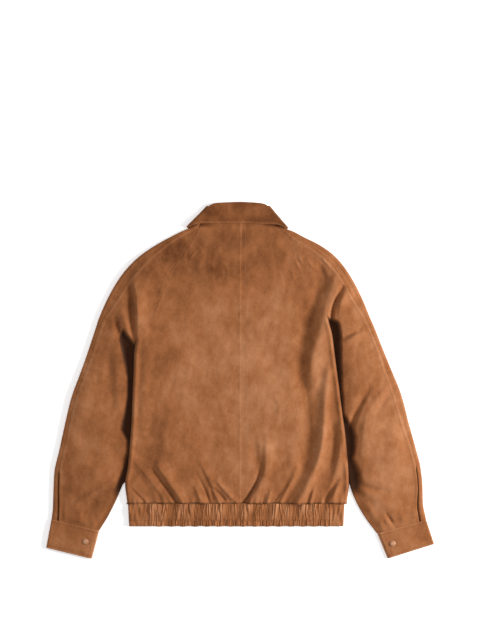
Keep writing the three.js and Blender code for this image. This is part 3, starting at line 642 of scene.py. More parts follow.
def pucker(along: np.ndarray, distance: np.ndarray, height: float, pitch: float,
           reach: float) -> np.ndarray:
    """Small waves where a seam draws the cloth up, fading away from the seam.

    Args:
        along: places along the seam, in millimetres.
        distance: distance from the seam.
        height: greatest height of a wave.
        pitch: mean distance between waves.
        reach: distance over which they fade.

    Returns:
        The height at each place.
    """
    phase = along / pitch + 0.7 * np.sin(along / (3.1 * pitch))
    phase = phase + 0.4 * np.sin(along / (7.3 * pitch) + 1)
    uneven = 0.55 + 0.45 * np.sin(along / (4.7 * pitch) + 2)
    return height * uneven * np.sin(2 * math.pi * phase) * np.exp(-distance / reach)


class Shader:
    """A material's node tree, with one way to add nodes."""

    def __init__(self, name: str) -> None:
        """Starts an empty material.

        Args:
            name: the material's name.
        """
        self.material = bpy.data.materials.new(name)
        self.material.use_nodes = True
        self.tree = self.material.node_tree
        self.tree.nodes.clear()

    def node(self, kind: str, settings: dict | None = None,
             sockets: dict | None = None) -> bpy.types.Node:
        """Adds a node: its settings first, then its sockets.

        Args:
            kind: the node's type, without the leading ShaderNode.
            settings: attributes to set; stops is a colour ramp's list of (place, colour).
            sockets: input name or number to a value, a Value or another node's output.

        Returns:
            The node.
        """
        made = self.tree.nodes.new("ShaderNode" + kind)
        for key, value in (settings or {}).items():
            if key == "stops":
                ramp = made.color_ramp
                while len(ramp.elements) < len(value):
                    ramp.elements.new(0.5)
                for element, (place, colour) in zip(ramp.elements, value):
                    element.position = place
                    element.color = (*colour, 1)
            else:
                setattr(made, key, value)
        for key, value in (sockets or {}).items():
            link = value.output if isinstance(value, Value) else value
            if isinstance(link, bpy.types.NodeSocket):
                self.tree.links.new(link, made.inputs[key])
            else:
                made.inputs[key].default_value = link
        return made

    def value(self, kind: str, settings: dict | None = None, sockets: dict | None = None,
              output: str | int = 0) -> "Value":
        """Adds a node and wraps one of its outputs for sums."""
        return Value(self, self.node(kind, settings, sockets).outputs[output])

    def noise(self, place: bpy.types.NodeSocket, scale: float, detail: float,
              rough: float) -> "Value":
        """Cloud noise, 0 to 1, over a place, with features of about 1 / scale metres."""
        sockets = {"Vector": place, "Scale": scale, "Detail": detail, "Roughness": rough}
        return self.value("TexNoise", {"noise_dimensions": "3D"}, sockets)

    def finish(self, surface: bpy.types.Node) -> bpy.types.Material:
        """Links the surface to the output and returns the material."""
        self.node("OutputMaterial", None, {"Surface": surface.outputs[0]})
        return self.material


class Value:
    """A number that varies over the surface; sums on it add Math nodes."""

    def __init__(self, shader: Shader, output: bpy.types.NodeSocket) -> None:
        """Wraps an output.

        Args:
            shader: the tree that it belongs to.
            output: the socket.
        """
        self.shader = shader
        self.output = output

    def _math(self, operation: str, first: object, second: object, clamp: bool = False) -> "Value":
        """Adds one Math node on two terms."""
        settings = {"operation": operation, "use_clamp": clamp}
        return self.shader.value("Math", settings, {0: first, 1: second})

    def __add__(self, other: object) -> "Value":
        """self + other."""
        return self._math("ADD", self, other)

    def __radd__(self, other: object) -> "Value":
        """other + self."""
        return self._math("ADD", other, self)

    def __sub__(self, other: object) -> "Value":
        """self - other."""
        return self._math("SUBTRACT", self, other)

    def __rsub__(self, other: object) -> "Value":
        """other - self."""
        return self._math("SUBTRACT", other, self)

    def __mul__(self, other: object) -> "Value":
        """self * other."""
        return self._math("MULTIPLY", self, other)

    def __rmul__(self, other: object) -> "Value":
        """other * self."""
        return self._math("MULTIPLY", other, self)

    def clamped(self) -> "Value":
        """The value held between 0 and 1."""
        return self._math("ADD", self, 0.0, clamp=True)


@dataclass(frozen=True)
class Suede:
    """Brushed suede: cloudy nap, short streaks, fine grain and a dull sheen.

    The colours are linear: shade is painted shade for crevices and slits, then from the deepest to
    the palest nap; tone shifts a whole piece.
    """

    name: str
    tone: float = 0.0
    cloud_scale: float = 18.0
    mottle_scale: float = 62.0
    speck_scale: float = 210.0
    grain_scale: float = 1100.0
    nap_bump: float = 0.35
    bump_depth: float = 0.0005
    smoothest: float = 0.86
    sheen: float = 0.22
    sheen_spread: float = 0.55
    sheen_tint: tuple[float, float, float, float] = (1.0, 0.70, 0.42, 1.0)
    gloss: float = 0.10
    # painted shade: the lowest stop, reached in the crevices beside the body and in the slits
    shade: tuple[float, float, float] = (0.038, 0.011, 0.004)
    deep: tuple[float, float, float] = (0.140, 0.043, 0.012)
    middle: tuple[float, float, float] = (0.272, 0.096, 0.033)
    pale: tuple[float, float, float] = (0.455, 0.208, 0.099)

    def material(self) -> bpy.types.Material:
        """Builds the node tree.

        The tone is one half, plus the piece's own shift, the point attribute tone with its painted
        light and shade, clouds of 55, 16 and 5 mm, and grain of 1 mm; a ramp turns it into colour.

        Returns:
            The material.
        """
        shader = Shader(self.name)
        place = shader.node("TexCoord").outputs["Object"]
        bent = shader.node("Mapping", None, {
            "Vector": place, "Rotation": (0, 0, 0.5), "Scale": (1.0, 0.55, 1.0),
        })
        clouds = shader.noise(place, self.cloud_scale, 2.0, 0.55)
        mottle = shader.noise(bent.outputs[0], self.mottle_scale, 3.0, 0.6)
        specks = shader.noise(place, self.speck_scale, 2.0, 0.6)
        grain = shader.noise(place, self.grain_scale, 2.0, 0.65)
        # the point attribute tone carries the nap patches and the painted light and shade of
        # ridges, troughs, crevices and edges
        painted = shader.value("Attribute", {"attribute_name": "tone"}, None, "Fac")
        tone = (0.55 + self.tone) + painted + 0.52 * (clouds - 0.5) + 0.44 * (mottle - 0.5)
        tone = (tone + 0.20 * (specks - 0.5) + 0.26 * (grain - 0.5)).clamped()
        stops = [(0.0, self.shade), (0.25, self.deep), (0.55, self.middle), (1.0, self.pale)]
        colour = shader.node("ValToRGB", {"stops": stops}, {"Fac": tone})
        height = 0.6 * grain + 0.4 * specks
        bump = shader.node("Bump", None, {
            "Strength": self.nap_bump, "Distance": self.bump_depth, "Height": height,
        })
        rough = self.smoothest + (1 - self.smoothest) * grain
        surface = shader.node("BsdfPrincipled", None, {
            "Base Color": colour.outputs[0], "Roughness": rough, "Normal": bump.outputs[0],
            "Specular IOR Level": self.gloss, "Sheen Weight": self.sheen,
            "Sheen Roughness": self.sheen_spread, "Sheen Tint": self.sheen_tint,
        })
        return shader.finish(surface)


@dataclass(frozen=True)
class Thread:
    """Tonal sewing thread, twisted, with a slight gloss."""

    name: str = "thread"
    colour: tuple[float, float, float] = (0.37, 0.155, 0.066)
    shade: tuple[float, float, float] = (0.24, 0.09, 0.035)

    def material(self) -> bpy.types.Material:
        """Builds the node tree: fine twist bands mixed from two tans.

        Returns:
            The material.
        """
        shader = Shader(self.name)
        place = shader.node("TexCoord").outputs["Object"]
        twist = shader.value("TexWave", {"wave_type": "BANDS", "bands_direction": "DIAGONAL"},
                             {"Vector": place, "Scale": 900.0, "Distortion": 1.0})
        stops = [(0.0, self.shade), (1.0, self.colour)]
        colour = shader.node("ValToRGB", {"stops": stops}, {"Fac": twist})
        bump = shader.node("Bump", None, {"Strength": 0.4, "Distance": 0.0002, "Height": twist})
        return shader.finish(shader.node("BsdfPrincipled", None, {
            "Base Color": colour.outputs[0], "Roughness": 0.6, "Normal": bump.outputs[0],
        }))


@dataclass(frozen=True)
class StudMetal:
    """Press stud caps enamelled in the suede's colour, with a painted highlight on the dome."""

    name: str = "stud_enamel"
    enamel: tuple[float, float, float] = (0.330, 0.140, 0.062)
    # colour of the painted highlight on the dome
    highlight_colour: tuple[float, float, float] = (0.62, 0.34, 0.19)

    def material(self) -> bpy.types.Material:
        """Builds the node tree: enamel, paler where the attribute tone paints the dome's highlight.

        Returns:
            The material.
        """
        shader = Shader(self.name)
        place = shader.node("TexCoord").outputs["Object"]
        # the attribute tone is the dome's painted highlight
        dome_highlight = shader.value("Attribute", {"attribute_name": "tone"}, None, "Fac")
        spots = shader.noise(place, 700.0, 3.0, 0.6)
        mask = (dome_highlight * (0.5 + spots)).clamped()
        stops = [(0.0, self.enamel), (1.0, self.highlight_colour)]
        colour = shader.node("ValToRGB", {"stops": stops}, {"Fac": mask})
        bump = shader.node("Bump", None, {"Strength": 0.2, "Distance": 0.0002, "Height": spots})
        return shader.finish(shader.node("BsdfPrincipled", None, {
            "Base Color": colour.outputs[0], "Roughness": 0.34 + 0.2 * spots, "Metallic": 0.1,
            "Normal": bump.outputs[0],
        }))


@dataclass
class Wardrobe:
    """The finishes, each made once."""

    made: dict[str, bpy.types.Material] = field(default_factory=dict)

    def get(self, finish: Suede | Thread | StudMetal) -> bpy.types.Material:
        """The material of a finish, built on first use.

        Args:
            finish: the finish.

        Returns:
            Its material.
        """
        if finish.name not in self.made:
            self.made[finish.name] = finish.material()
        return self.made[finish.name]


WARDROBE = Wardrobe()
BODY_SUEDE = Suede("suede")
COLLAR_SUEDE = Suede("collar_suede", tone=-0.24)
BAND_SUEDE = Suede("band_suede", tone=0.03)
EDGE_ANGLE = math.radians(55)
INSIDE_DARKER = 0.1


def add_object(name: str, data: bpy.types.ID) -> bpy.types.Object:
    """Makes an object of the data and puts it in the scene.

    Args:
        name: the object's name.
        data: its mesh, light or camera.

    Returns:
        The object.
    """
    made = bpy.data.objects.new(name, data)
    bpy.context.scene.collection.objects.link(made)
    return made


def add_mesh(name: str, points: np.ndarray, quads: np.ndarray,
             tone: np.ndarray) -> bpy.types.Object:
    """Makes an object at the origin from points in millimetres.

    Args:
        name: the piece's name.
        points: (count, 3) places.
        quads: (count, 4) corners of its faces.
        tone: one tone shift per point.

    Returns:
        The object.
    """
    mesh = bpy.data.meshes.new(name)
    mesh.from_pydata((points * MM).tolist(), [], quads.tolist())
    attribute = mesh.attributes.new("tone", "FLOAT", "POINT")
    attribute.data.foreach_set("value", tone.astype(np.float32).ravel())
    mesh.polygons.foreach_set("use_smooth", np.ones(len(mesh.polygons), bool))
    mesh.set_sharp_from_angle(angle=EDGE_ANGLE)
    mesh.update()
    return add_object(name, mesh)


def grid_quads(rows: int, columns: int, first: int = 0) -> np.ndarray:
    """Corners of the faces of a grid whose points are numbered row by row.

    Args:
        rows: number of rows.
        columns: number of points in a row.
        first: number of the first point.

    Returns:
        (count, 4) point numbers.
    """
    index = first + np.arange(rows * columns).reshape(rows, columns)
    a, b, c, d = index[:-1, :-1], index[:-1, 1:], index[1:, 1:], index[1:, :-1]
    return np.stack([a, b, c, d], -1).reshape(-1, 4)


def normals_of(grid: np.ndarray) -> np.ndarray:
    """Unit normals of a grid, (along a row) x (from row to row)."""
    normal = np.cross(np.gradient(grid, axis=1), np.gradient(grid, axis=0))
    return normal / np.maximum(np.linalg.norm(normal, axis=2, keepdims=True), 1e-9)


def wall(name: str, grid: np.ndarray, thickness: float, facing: int, tone: np.ndarray,
         inner: np.ndarray | None = None) -> bpy.types.Object:
    """Closes a grid of outer points into a thin shell.

    The inner face is the outer one moved in along its normals, and four strips join the rims.

    Args:
        name: the piece's name.
        grid: (rows, columns, 3) outer points.
        thickness: of the shell, in millimetres.
        facing: 1 where the outward normal is (along a row) x (from row to row), else -1.
        tone: tone shifts that spread over (rows, columns).
        inner: the inner points, where they aren't worked out from the outer ones.

    Returns:
        The object.
    """
    rows, columns = grid.shape[:2]
    if inner is None:
        inner = grid - normals_of(grid) * facing * thickness
    count = rows * columns
    outside = grid_quads(rows, columns)
    inside = grid_quads(rows, columns, count)[:, ::-1]
    index = np.arange(count).reshape(rows, columns)
    rims = []
    for line, turn in ((index[0], 1), (index[-1], -1), (index[:, 0], -1), (index[:, -1], 1)):
        strip = np.stack([line[:-1], line[:-1] + count, line[1:] + count, line[1:]], -1)
        rims.append(strip[:, ::turn])
    quads = np.concatenate([outside, inside, *rims])
    if facing < 0:
        quads = quads[:, ::-1]
    points = np.concatenate([grid.reshape(-1, 3), inner.reshape(-1, 3)])
    tone = np.broadcast_to(tone, (rows, columns)).ravel()
    tones = np.concatenate([tone, tone - INSIDE_DARKER])
    return add_mesh(name, points, quads, tones)


def dress(piece: bpy.types.Object, finish: Suede | Thread | StudMetal, slot: str,
          *nodes: str) -> bpy.types.Object:
    """Gives a piece its material and body, and hides the nodes that it stands for.

    Args:
        piece: the object.
        finish: its finish.
        slot: not used.
        nodes: the nodes that it replaces.

    Returns:
        The object.
    """
    piece.data.materials.append(WARDROBE.get(finish))
    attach(piece, "root")
    if nodes:
        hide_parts(*nodes)
    LOG.info("%s: %d faces", piece.name, len(piece.data.polygons))
    return piece


def spaced(*stretches: tuple[float, float, int]) -> np.ndarray:
    """Joins evenly divided stretches (from, to, steps) into one rising or falling row."""
    parts = [np.linspace(start, end, steps, endpoint=False) for start, end, steps in stretches]
    return np.concatenate([*parts, [stretches[-1][1]]])


@dataclass
class SeamStitches:
    """Topstitching: short thread capsules laid along lines on the cloth."""

    pitch: float = 4.4
    stitch: float = 3.1
    radius: float = 0.42
    runs: list[np.ndarray] = field(default_factory=list)
    ups: list[np.ndarray] = field(default_factory=list)

    def add(self, line: np.ndarray, up: np.ndarray | None = None) -> None:
        """Adds a run of stitches.

        Args:
            line: (count, 3) points of the run, on the cloth.
            up: (count, 3) outward directions, or nothing where the cloth faces up.
        """
        if up is None:
            up = np.tile((0.0, 0.0, 1.0), (len(line), 1))
        self.runs.append(line)
        self.ups.append(up)

    def build(self, name: str) -> bpy.types.Object:
        """Joins all stitches into one piece.

        A stitch is a tube of six sides and five rings, whose rings shrink and sink at both
        ends into the cloth; one set of rings is turned to each stitch's direction.

        Args:
            name: the piece's name.

        Returns:
            The object.
        """
        places, tangents, uprights = [], [], []
        for line, up in zip(self.runs, self.ups):
            way = np.concatenate([[0], np.cumsum(np.linalg.norm(np.diff(line, axis=0), axis=1))])
            stops = np.arange(self.pitch, way[-1] - self.pitch / 2, self.pitch)
            at = np.stack([np.interp(stops, way, line[:, k]) for k in range(3)], -1)
            ahead = np.stack([np.interp(stops + 0.8, way, line[:, k]) for k in range(3)], -1)
            behind = np.stack([np.interp(stops - 0.8, way, line[:, k]) for k in range(3)], -1)
            places.append(at)
            tangents.append(ahead - behind)
            uprights.append(np.stack([np.interp(stops, way, up[:, k]) for k in range(3)], -1))
        place, tangent, upright = (np.concatenate(part) for part in (places, tangents, uprights))
        tangent = unit(tangent)
        across = unit(np.cross(upright, tangent))
        upright = np.cross(tangent, across)
        sides = 6
        along = np.array([-0.5, -0.32, 0.0, 0.32, 0.5]) * self.stitch
        count = sides * len(along)
        size = np.array([0.35, 0.85, 1.0, 0.85, 0.35]) * self.radius
        lift = np.array([-0.35, 0.1, 0.3, 0.1, -0.35]) * self.radius
        angle = np.arange(sides) * 2 * math.pi / sides
        size = size[:, None]
        ring = points_of(along[:, None], size * np.cos(angle), lift[:, None] + size * np.sin(angle))
        axes = np.stack([tangent, across, upright], 1)
        points = place[:, None, None, :] + np.einsum("rsk,nkx->nrsx", ring, axes)
        index = np.arange(count).reshape(len(along), sides)
        turned = np.roll(index, -1, axis=1)
        tube = np.stack([index[:-1], turned[:-1], turned[1:], index[1:]], -1).reshape(-1, 4)
        caps = np.array([[5, 4, 1, 0], [4, 3, 2, 1], [24, 25, 28, 29], [25, 26, 27, 28]])
        quads = np.concatenate([tube[:, ::-1], caps[:, ::-1]])
        every = (quads[None] + count * np.arange(len(place))[:, None, None]).reshape(-1, 4)
        points = points.reshape(-1, 3)
        return add_mesh(name, points, every, np.zeros(len(points)))


@dataclass
class BackHalf:
    """One half of the back, from the centre seam to the raglan seam and the side."""

    plan: SidePlan
    over: float = 7.0
    lap: float = 9.0
    overhang: float = 3.0
    bead: float = 2.4
    centre_welt: float = 0.5
    neck_shade: float = 0.45

    def place(self, y: np.ndarray, distance: np.ndarray) -> np.ndarray:
        """Outer points at height y and at a distance in from the seam or side edge.

        The height is the flat back, a low crown, the relief, a welt at the seams and the climb
        over the sleeve; a quarter round turns it down at the side below the armpit.

        Args:
            y: heights.
            distance: distances from the outer edge of the panel.

        Returns:
            The points.
        """
        plan = self.plan
        edge = plan.edge_at(y) - plan.sign * HALF_SEAM
        x = edge - plan.sign * distance
        opening = plan.open_at(y)
        rise = plan.rise_at(y)
        share = 1 - smooth(distance / SIDE_RAMP)
        calm = (1 - 0.6 * opening * (1 - smooth(distance / 6))) * neck_calm(y)
        crown = plan.crown_at(y) * (1 - 0.3 * smooth((-225 - y) / 40))
        crown = crown * (1 - share * rise / SIDE_RISE)
        bead = self.bead * opening * bell(distance, 6, 5) * smooth((y - SIDE_END_Y) / 30)
        lift = RELIEF.at(x, y) * calm + crown + bead
        top = np.maximum(LOWEST_BACK, BACK_TOP + lift) + rise * share
        from_centre = np.abs(x - CENTRE)
        welt = self.centre_welt * bell(x - CENTRE, -2.5, 3) + plan.welt(distance, opening)
        wrinkle = pucker(y, from_centre, 0.4, 19, 16)
        wrinkle = wrinkle + pucker(y, distance, 0.5, 15, 18) * (1 - opening)
        top = top + welt + wrinkle - 0.2 * bell(from_centre, 0, 1)
        end = rise + CLOTH + ROLL_GAP
        z = blend(top, end, opening * round_drop(distance, SIDE_ROLL))
        return points_of(x, y, z)

    def build(self) -> bpy.types.Object:
        """Its rows go down the back and its columns from the centre seam to the side; the tone has
        a painted highlight on the centre seam's welt, and painted shade at the open side, on the
        roll over the band and under the collar at the neck.

        Returns:
            The object.
        """
        y = spaced((NECK_Y, -130, 170), (-130, BAND_SEAM_Y + 2, 84))[:, None]
        reach = np.abs(self.plan.edge_at(y) - CENTRE) - 2 * HALF_SEAM
        inside = np.linspace(1, 0, 104, endpoint=False)[None, :]
        near = (1 - np.cos(np.linspace(math.pi / 2, 0, 20)))[None, :]
        band = np.minimum(22.0, reach * 0.2)
        distance = np.concatenate([band + (reach - band) * inside, band * near], axis=1)
        grid = self.curl(self.place(np.broadcast_to(y, distance.shape), distance))
        added = len(grid) - len(distance)
        distance = np.concatenate([distance, np.repeat(distance[-1:], added, axis=0)])
        x, high = grid[..., 0], grid[..., 1]
        tone = nap_and_painted_light_tone(x, high) + crease_painted_shading(x, high)
        # painted highlight on the raised welt beside the centre seam
        pale = bell(x - CENTRE, -1.5, 3) * 0.07
        # painted shade on the side edge below the armpit, in the crevice above the sleeve
        below = self.plan.open_at(high) * smooth((high - SIDE_END_Y) / 30)
        below = below * smooth((2.2 - distance) / 2.2)
        # painted shadow of the collar on the back at the neck
        shaded = self.neck_shade * smooth((high - 335) / 5)
        shaded = shaded * (0.1 + 0.9 * smooth((np.abs(x + 5) - 40) / 60))
        # the tone falls by 0.30 on the roll over the band's seam: painted shade under the overhang
        tone = tone + pale - 0.5 * below - 0.30 * smooth((BAND_SEAM_Y + 3 - high) / 3) - shaded
        name = f"back_{self.plan.side.word}"
        piece = wall(f"{name}_suede", grid, CLOTH, -self.plan.sign, tone)
        dress(piece, BODY_SUEDE, "suede", name)
        return piece

    def curl(self, grid: np.ndarray) -> np.ndarray:
        """Adds the roll that hangs over the band's seam, its edge in shallow scallops.

        The last row is carried on round most of a half turn; all rows near it move with the
        scallops, a sum of two sine waves.

        Args:
            grid: points down to the seam.

        Returns:
            The points with the roll.
        """
        last = grid[-1:]
        angle = np.radians(np.linspace(0, 160, 11))[1:, None]
        y = last[..., 1] - self.overhang * np.sin(angle)
        room = np.clip((last[..., 2] - 2 * CLOTH - 2) / (2 * self.overhang), 0, 1)
        z = last[..., 2] - self.overhang * room * (1 - np.cos(angle))
        roll = np.stack([np.broadcast_to(last[..., 0], y.shape), y, z], -1)
        grid = np.concatenate([grid, roll])
        x = grid[..., 0]
        scallop = 1.1 * np.sin(x / 5.2 + 1.6 * np.sin(x / 23)) + 0.9 * np.sin(x / 15 + 2)
        grid[..., 1] += scallop * smooth((BAND_SEAM_Y + 16 - grid[..., 1]) / 12)
        return grid

    def stitch(self, stitches: SeamStitches) -> None:
        """Adds the lines beside the raglan seam and, on the right half, the centre seam.

        Args:
            stitches: takes the lines.
        """
        y = np.linspace(338, self.plan.armpit + 6, 120)
        stitches.add(self.place(y, np.full_like(y, self.over)))
        if self.plan.side is Side.RIGHT:
            y = np.linspace(340, BAND_SEAM_Y + 4, 260)
            reach = np.abs(self.plan.edge_at(y) - CENTRE) - HALF_SEAM
            stitches.add(self.place(y, reach - self.lap))


@dataclass
class FrontHalf:
    """One front, face down: flat where it rests, climbing at the side and over the collar."""

    plan: SidePlan

    def build(self) -> bpy.types.Object:
        """The outer face lies at 0, raised by the lap at the centre line, by the collar leaf and
        by the climb over the sleeve, and by a few soft creases between them.

        Returns:
            The object.
        """
        plan = self.plan
        sign = plan.sign
        neck_y = np.array([row[0] for row in NECKLINE], float)[::-1]
        neck_start = np.array([row[1] for row in NECKLINE], float)[::-1]
        y = spaced((331, 297, 14), (297, -190, 100), (-190, BAND_SEAM_Y, 24))[:, None]
        start = CENTRE + sign * np.where(y > 297, np.interp(y, neck_y, neck_start), -LAP)
        end = plan.edge_at(y) - sign * HALF_SEAM
        reach = np.abs(end - start)
        share = spaced((1, 0.2, 40), (0.2, 0, 13))[None, :]
        distance = reach * share
        x = end - sign * distance
        high = np.broadcast_to(y, x.shape)
        from_centre = sign * (x - CENTRE)
        if plan.side is Side.LEFT:
            lap = STUD_LIFT * smooth((LAP_END - np.abs(from_centre)) / LAP_RAMP)
        else:
            lap = LAP_LIFT * smooth((LAP_END - from_centre) / LAP_RAMP)
        climb = plan.rise_at(high) * (1 - smooth(distance / SIDE_RAMP))
        creases = np.maximum(0, ripple(x, high, FRONT_WAVES) - 0.7)
        creases = creases * smooth((from_centre - 40) / 30) * smooth((distance - 20) / 30)
        gathers = 0.8 * np.maximum(0, np.cos(2 * math.pi * x / 31 + 2 * np.sin(x / 40)))
        gathers = gathers * smooth((BAND_SEAM_Y + 34 - high) / 30) * smooth((from_centre - 46) / 20)
        z = np.maximum(np.maximum(lap, leaf_lift(x, high)), climb) + creases + gathers
        grid = points_of(x, high, z)
        name = f"front_{plan.side.word}"
        piece = wall(f"{name}_suede", grid, CLOTH, sign, nap_and_painted_light_tone(x, high) * 0.5)
        dress(piece, BODY_SUEDE, "suede", name)
        return piece


def leaf_lift(x: np.ndarray, y: np.ndarray) -> np.ndarray:
    """How far the underside is raised by the collar leaf below it.

    Args:
        x: places across.
        y: places along.

    Returns:
        The heights.
    """
    aside = np.abs(x - CENTRE)
    across = smooth((aside - 14) / 14) * smooth((150 - aside) / 25)
    return LEAF_LIFT * smooth((y - 222) / 26) * across


@dataclass
class Sleeve:
    """A raglan sleeve: back panel, and front panel round the outer edge to the underside."""

    plan: SidePlan
    over: float = 6.0
    sections: int = 300
    seam_welt: float = 0.5
    slit_depth: float = 2.4
    slit_lip: float = 0.7
    tuck: float = 10.0

    def hollow(self, y: np.ndarray) -> tuple[np.ndarray, np.ndarray]:
        """The flat width and the climbing width of the hollow beside the body.

        Args:
            y: heights.

        Returns:
            Both widths at each height.
        """
        rows = np.array(HOLLOWS[self.plan.side.word], float)
        return np.interp(y, rows[:, 0], rows[:, 1]), np.interp(y, rows[:, 0], rows[:, 2])

    def top(self, x: np.ndarray, y: np.ndarray, distance: np.ndarray, line: Section) -> np.ndarray:
        """Height of the upper side at a distance from the inner edge.

        The sleeve's flat height, a crown across it and the relief; beside the body it lies
        flat on the front panel first and then climbs, and its edge turns down to the panel.

        Args:
            x: places across.
            y: places along.
            distance: distances from the inner edge.
            line: the section, as the plan reads it.

        Returns:
            The heights.
        """
        opening = self.plan.open_at(line["y"])
        width = np.maximum(line["length"], 1)
        share = np.clip(distance / width, 0, 1)
        arm = smooth((318 - line["y"]) / 100)
        wrist = 1 - 0.7 * smooth((-215 - line["y"]) / 90)
        crown = SLEEVE_CROWN * arm * wrist * np.sin(math.pi * share ** 0.9) ** 0.7
        beside = self.plan.crown_at(line["y"]) * smooth((width - distance) / (0.75 * width))
        crown = blend(beside, crown, np.maximum(opening, smooth(distance / 45)))
        calm = neck_calm(line["y"]) * (0.35 + 0.65 * smooth((width - distance) / 18))
        lift = RELIEF.at(x, y) * calm + crown
        lift = lift * (1 - 0.8 * smooth((-318 - line["y"]) / 13))
        from_seam = width - line["seam"] - distance
        welt = self.seam_welt * bell(from_seam, 3, 3) + self.plan.welt(distance, opening)
        slit = self.slit_at(line["y"])
        welt = welt - self.slit_depth * slit * bell(from_seam, 0, 1.6)
        welt = welt + self.slit_lip * slit * bell(from_seam, 5, 4)
        wrinkle = pucker(line["y"] + 9, distance, 0.5, 15, 16) * (1 - opening)
        wrinkle = wrinkle + pucker(line["y"] * 1.1, np.abs(from_seam), 0.5, 19, 14)
        top = np.maximum(LOWEST_BACK, BACK_TOP + lift + welt + wrinkle)
        flat, climb = self.hollow(line["y"])
        top = blend(top, LOWEST_BACK, self.sunk_at(x, y) * (1 - smooth((distance - flat) / climb)))
        return blend(top, CLOTH + ROLL_GAP, opening * round_drop(distance, 3.0))

    def sunk_at(self, x: np.ndarray, y: np.ndarray) -> np.ndarray:
        """How far a place has passed the line that crosses the sleeve under the arm.

        Args:
            x: places across.
            y: places along.

        Returns:
            0 above the line, 1 below it.
        """
        x1, y1, x2, y2, softness = SINK_LINE[self.plan.side.word]
        line = y1 + (x - x1) * (y2 - y1) / (x2 - x1)
        return smooth((line - y) / (2 * softness) + 0.5)

    def slit_at(self, y: np.ndarray) -> np.ndarray:
        """How open the overarm seam is: 0 above the slit, 1 along it."""
        return smooth((SLIT_TOP - y) / 14)

    def place(self, t: np.ndarray, distance: np.ndarray) -> np.ndarray:
        """Points of the upper side.

        Args:
            t: positions along the sleeve.
            distance: distances from its inner edge.

        Returns:
            The points.
        """
        line = self.plan.line(t)
        x = line["x"] + line["dx"] * distance
        y = line["y"] + line["dy"] * distance
        return np.stack([x, y, self.top(x, y, distance, line)], -1)

    def spread(self, line: Section,
               distance: np.ndarray) -> tuple[Section, np.ndarray, np.ndarray]:
        """Spreads the sections over a grid of distances.

        Args:
            line: the sections, one to a row.
            distance: distances from the inner edge, rows by columns.

        Returns:
            The sections at every point, and the points' x and y.
        """
        full = {key: np.broadcast_to(value, distance.shape) for key, value in line.items()}
        return full, full["x"] + full["dx"] * distance, full["y"] + full["dy"] * distance

    def tones(self, grid: np.ndarray, distance: np.ndarray, line: Section) -> np.ndarray:
        """Tone shifts: nap patches with painted light and shade, painted highlights on ridges and
        the seam welt, painted shade in troughs, in the hollow beside the body and in the open slit.

        Args:
            grid: outer points.
            distance: distances from the inner edge.
            line: the section, as the plan reads it.

        Returns:
            One shift per point.
        """
        x, y = grid[..., 0], grid[..., 1]
        tone = nap_and_painted_light_tone(x, y) + crease_painted_shading(x, y)
        flat, climb = self.hollow(line["y"])
        from_seam = line["length"] - line["seam"] - distance
        # painted highlight on the overarm seam's welt, gone along the slit
        tone = tone + 0.11 * bell(from_seam, 3, 3) * (1 - self.slit_at(line["y"]))
        # painted shade in the open slit
        tone = tone - 0.8 * self.slit_at(line["y"]) * bell(from_seam, 0, 1.7)
        # painted shade in the hollow beside the body, deepest where the sleeve has sunk
        hollow_shade = 0.75 * self.sunk_at(x, y) * (0.2 + 0.8 * smooth((y - SIDE_END_Y) / 40))
        return tone - hollow_shade * (1 - smooth((distance - flat - 0.1 * climb) / climb))

    def tucked(self, y: np.ndarray) -> np.ndarray:
        """How far the sleeve's inner edge runs on beneath the body's raised side edge."""
        return 0.05 + self.tuck * smooth((self.plan.rise_at(y) - 3) / 4)

    def build_back(self) -> bpy.types.Object:
        """Its columns start under the body's raised edge and lie closest at the inner edge and
        at the seam; along the slit the panel stops 2 mm short of the seam.

        Returns:
            The object.
        """
        t = np.linspace(0, self.plan.length, self.sections)[:, None]
        line = self.plan.line(t)
        far = line["length"] - line["seam"] - SEAM / 2 - SLIT_GAP * self.slit_at(line["y"])
        near = 1 - np.cos(np.linspace(0, math.pi / 2, 20, endpoint=False))[None, :]
        rest = spaced((0, 0.92, 46), (0.92, 1, 11))[None, :]
        band = np.minimum(16.0, far * 0.3)
        tuck = -self.tucked(line["y"]) * np.linspace(1, 0, 4, endpoint=False)[None, :]
        distance = np.concatenate([tuck, band * near, band + (far - band) * rest], axis=1)
        full, x, y = self.spread(line, distance)
        grid = np.stack([x, y, self.top(x, y, distance, full)], -1)
        name = f"sleeve_back_{self.plan.side.word}"
        tone = self.tones(grid, distance, full)
        piece = wall(f"{name}_suede", grid, CLOTH, -self.plan.sign, tone)
        dress(piece, BODY_SUEDE, "suede", name)
        return piece

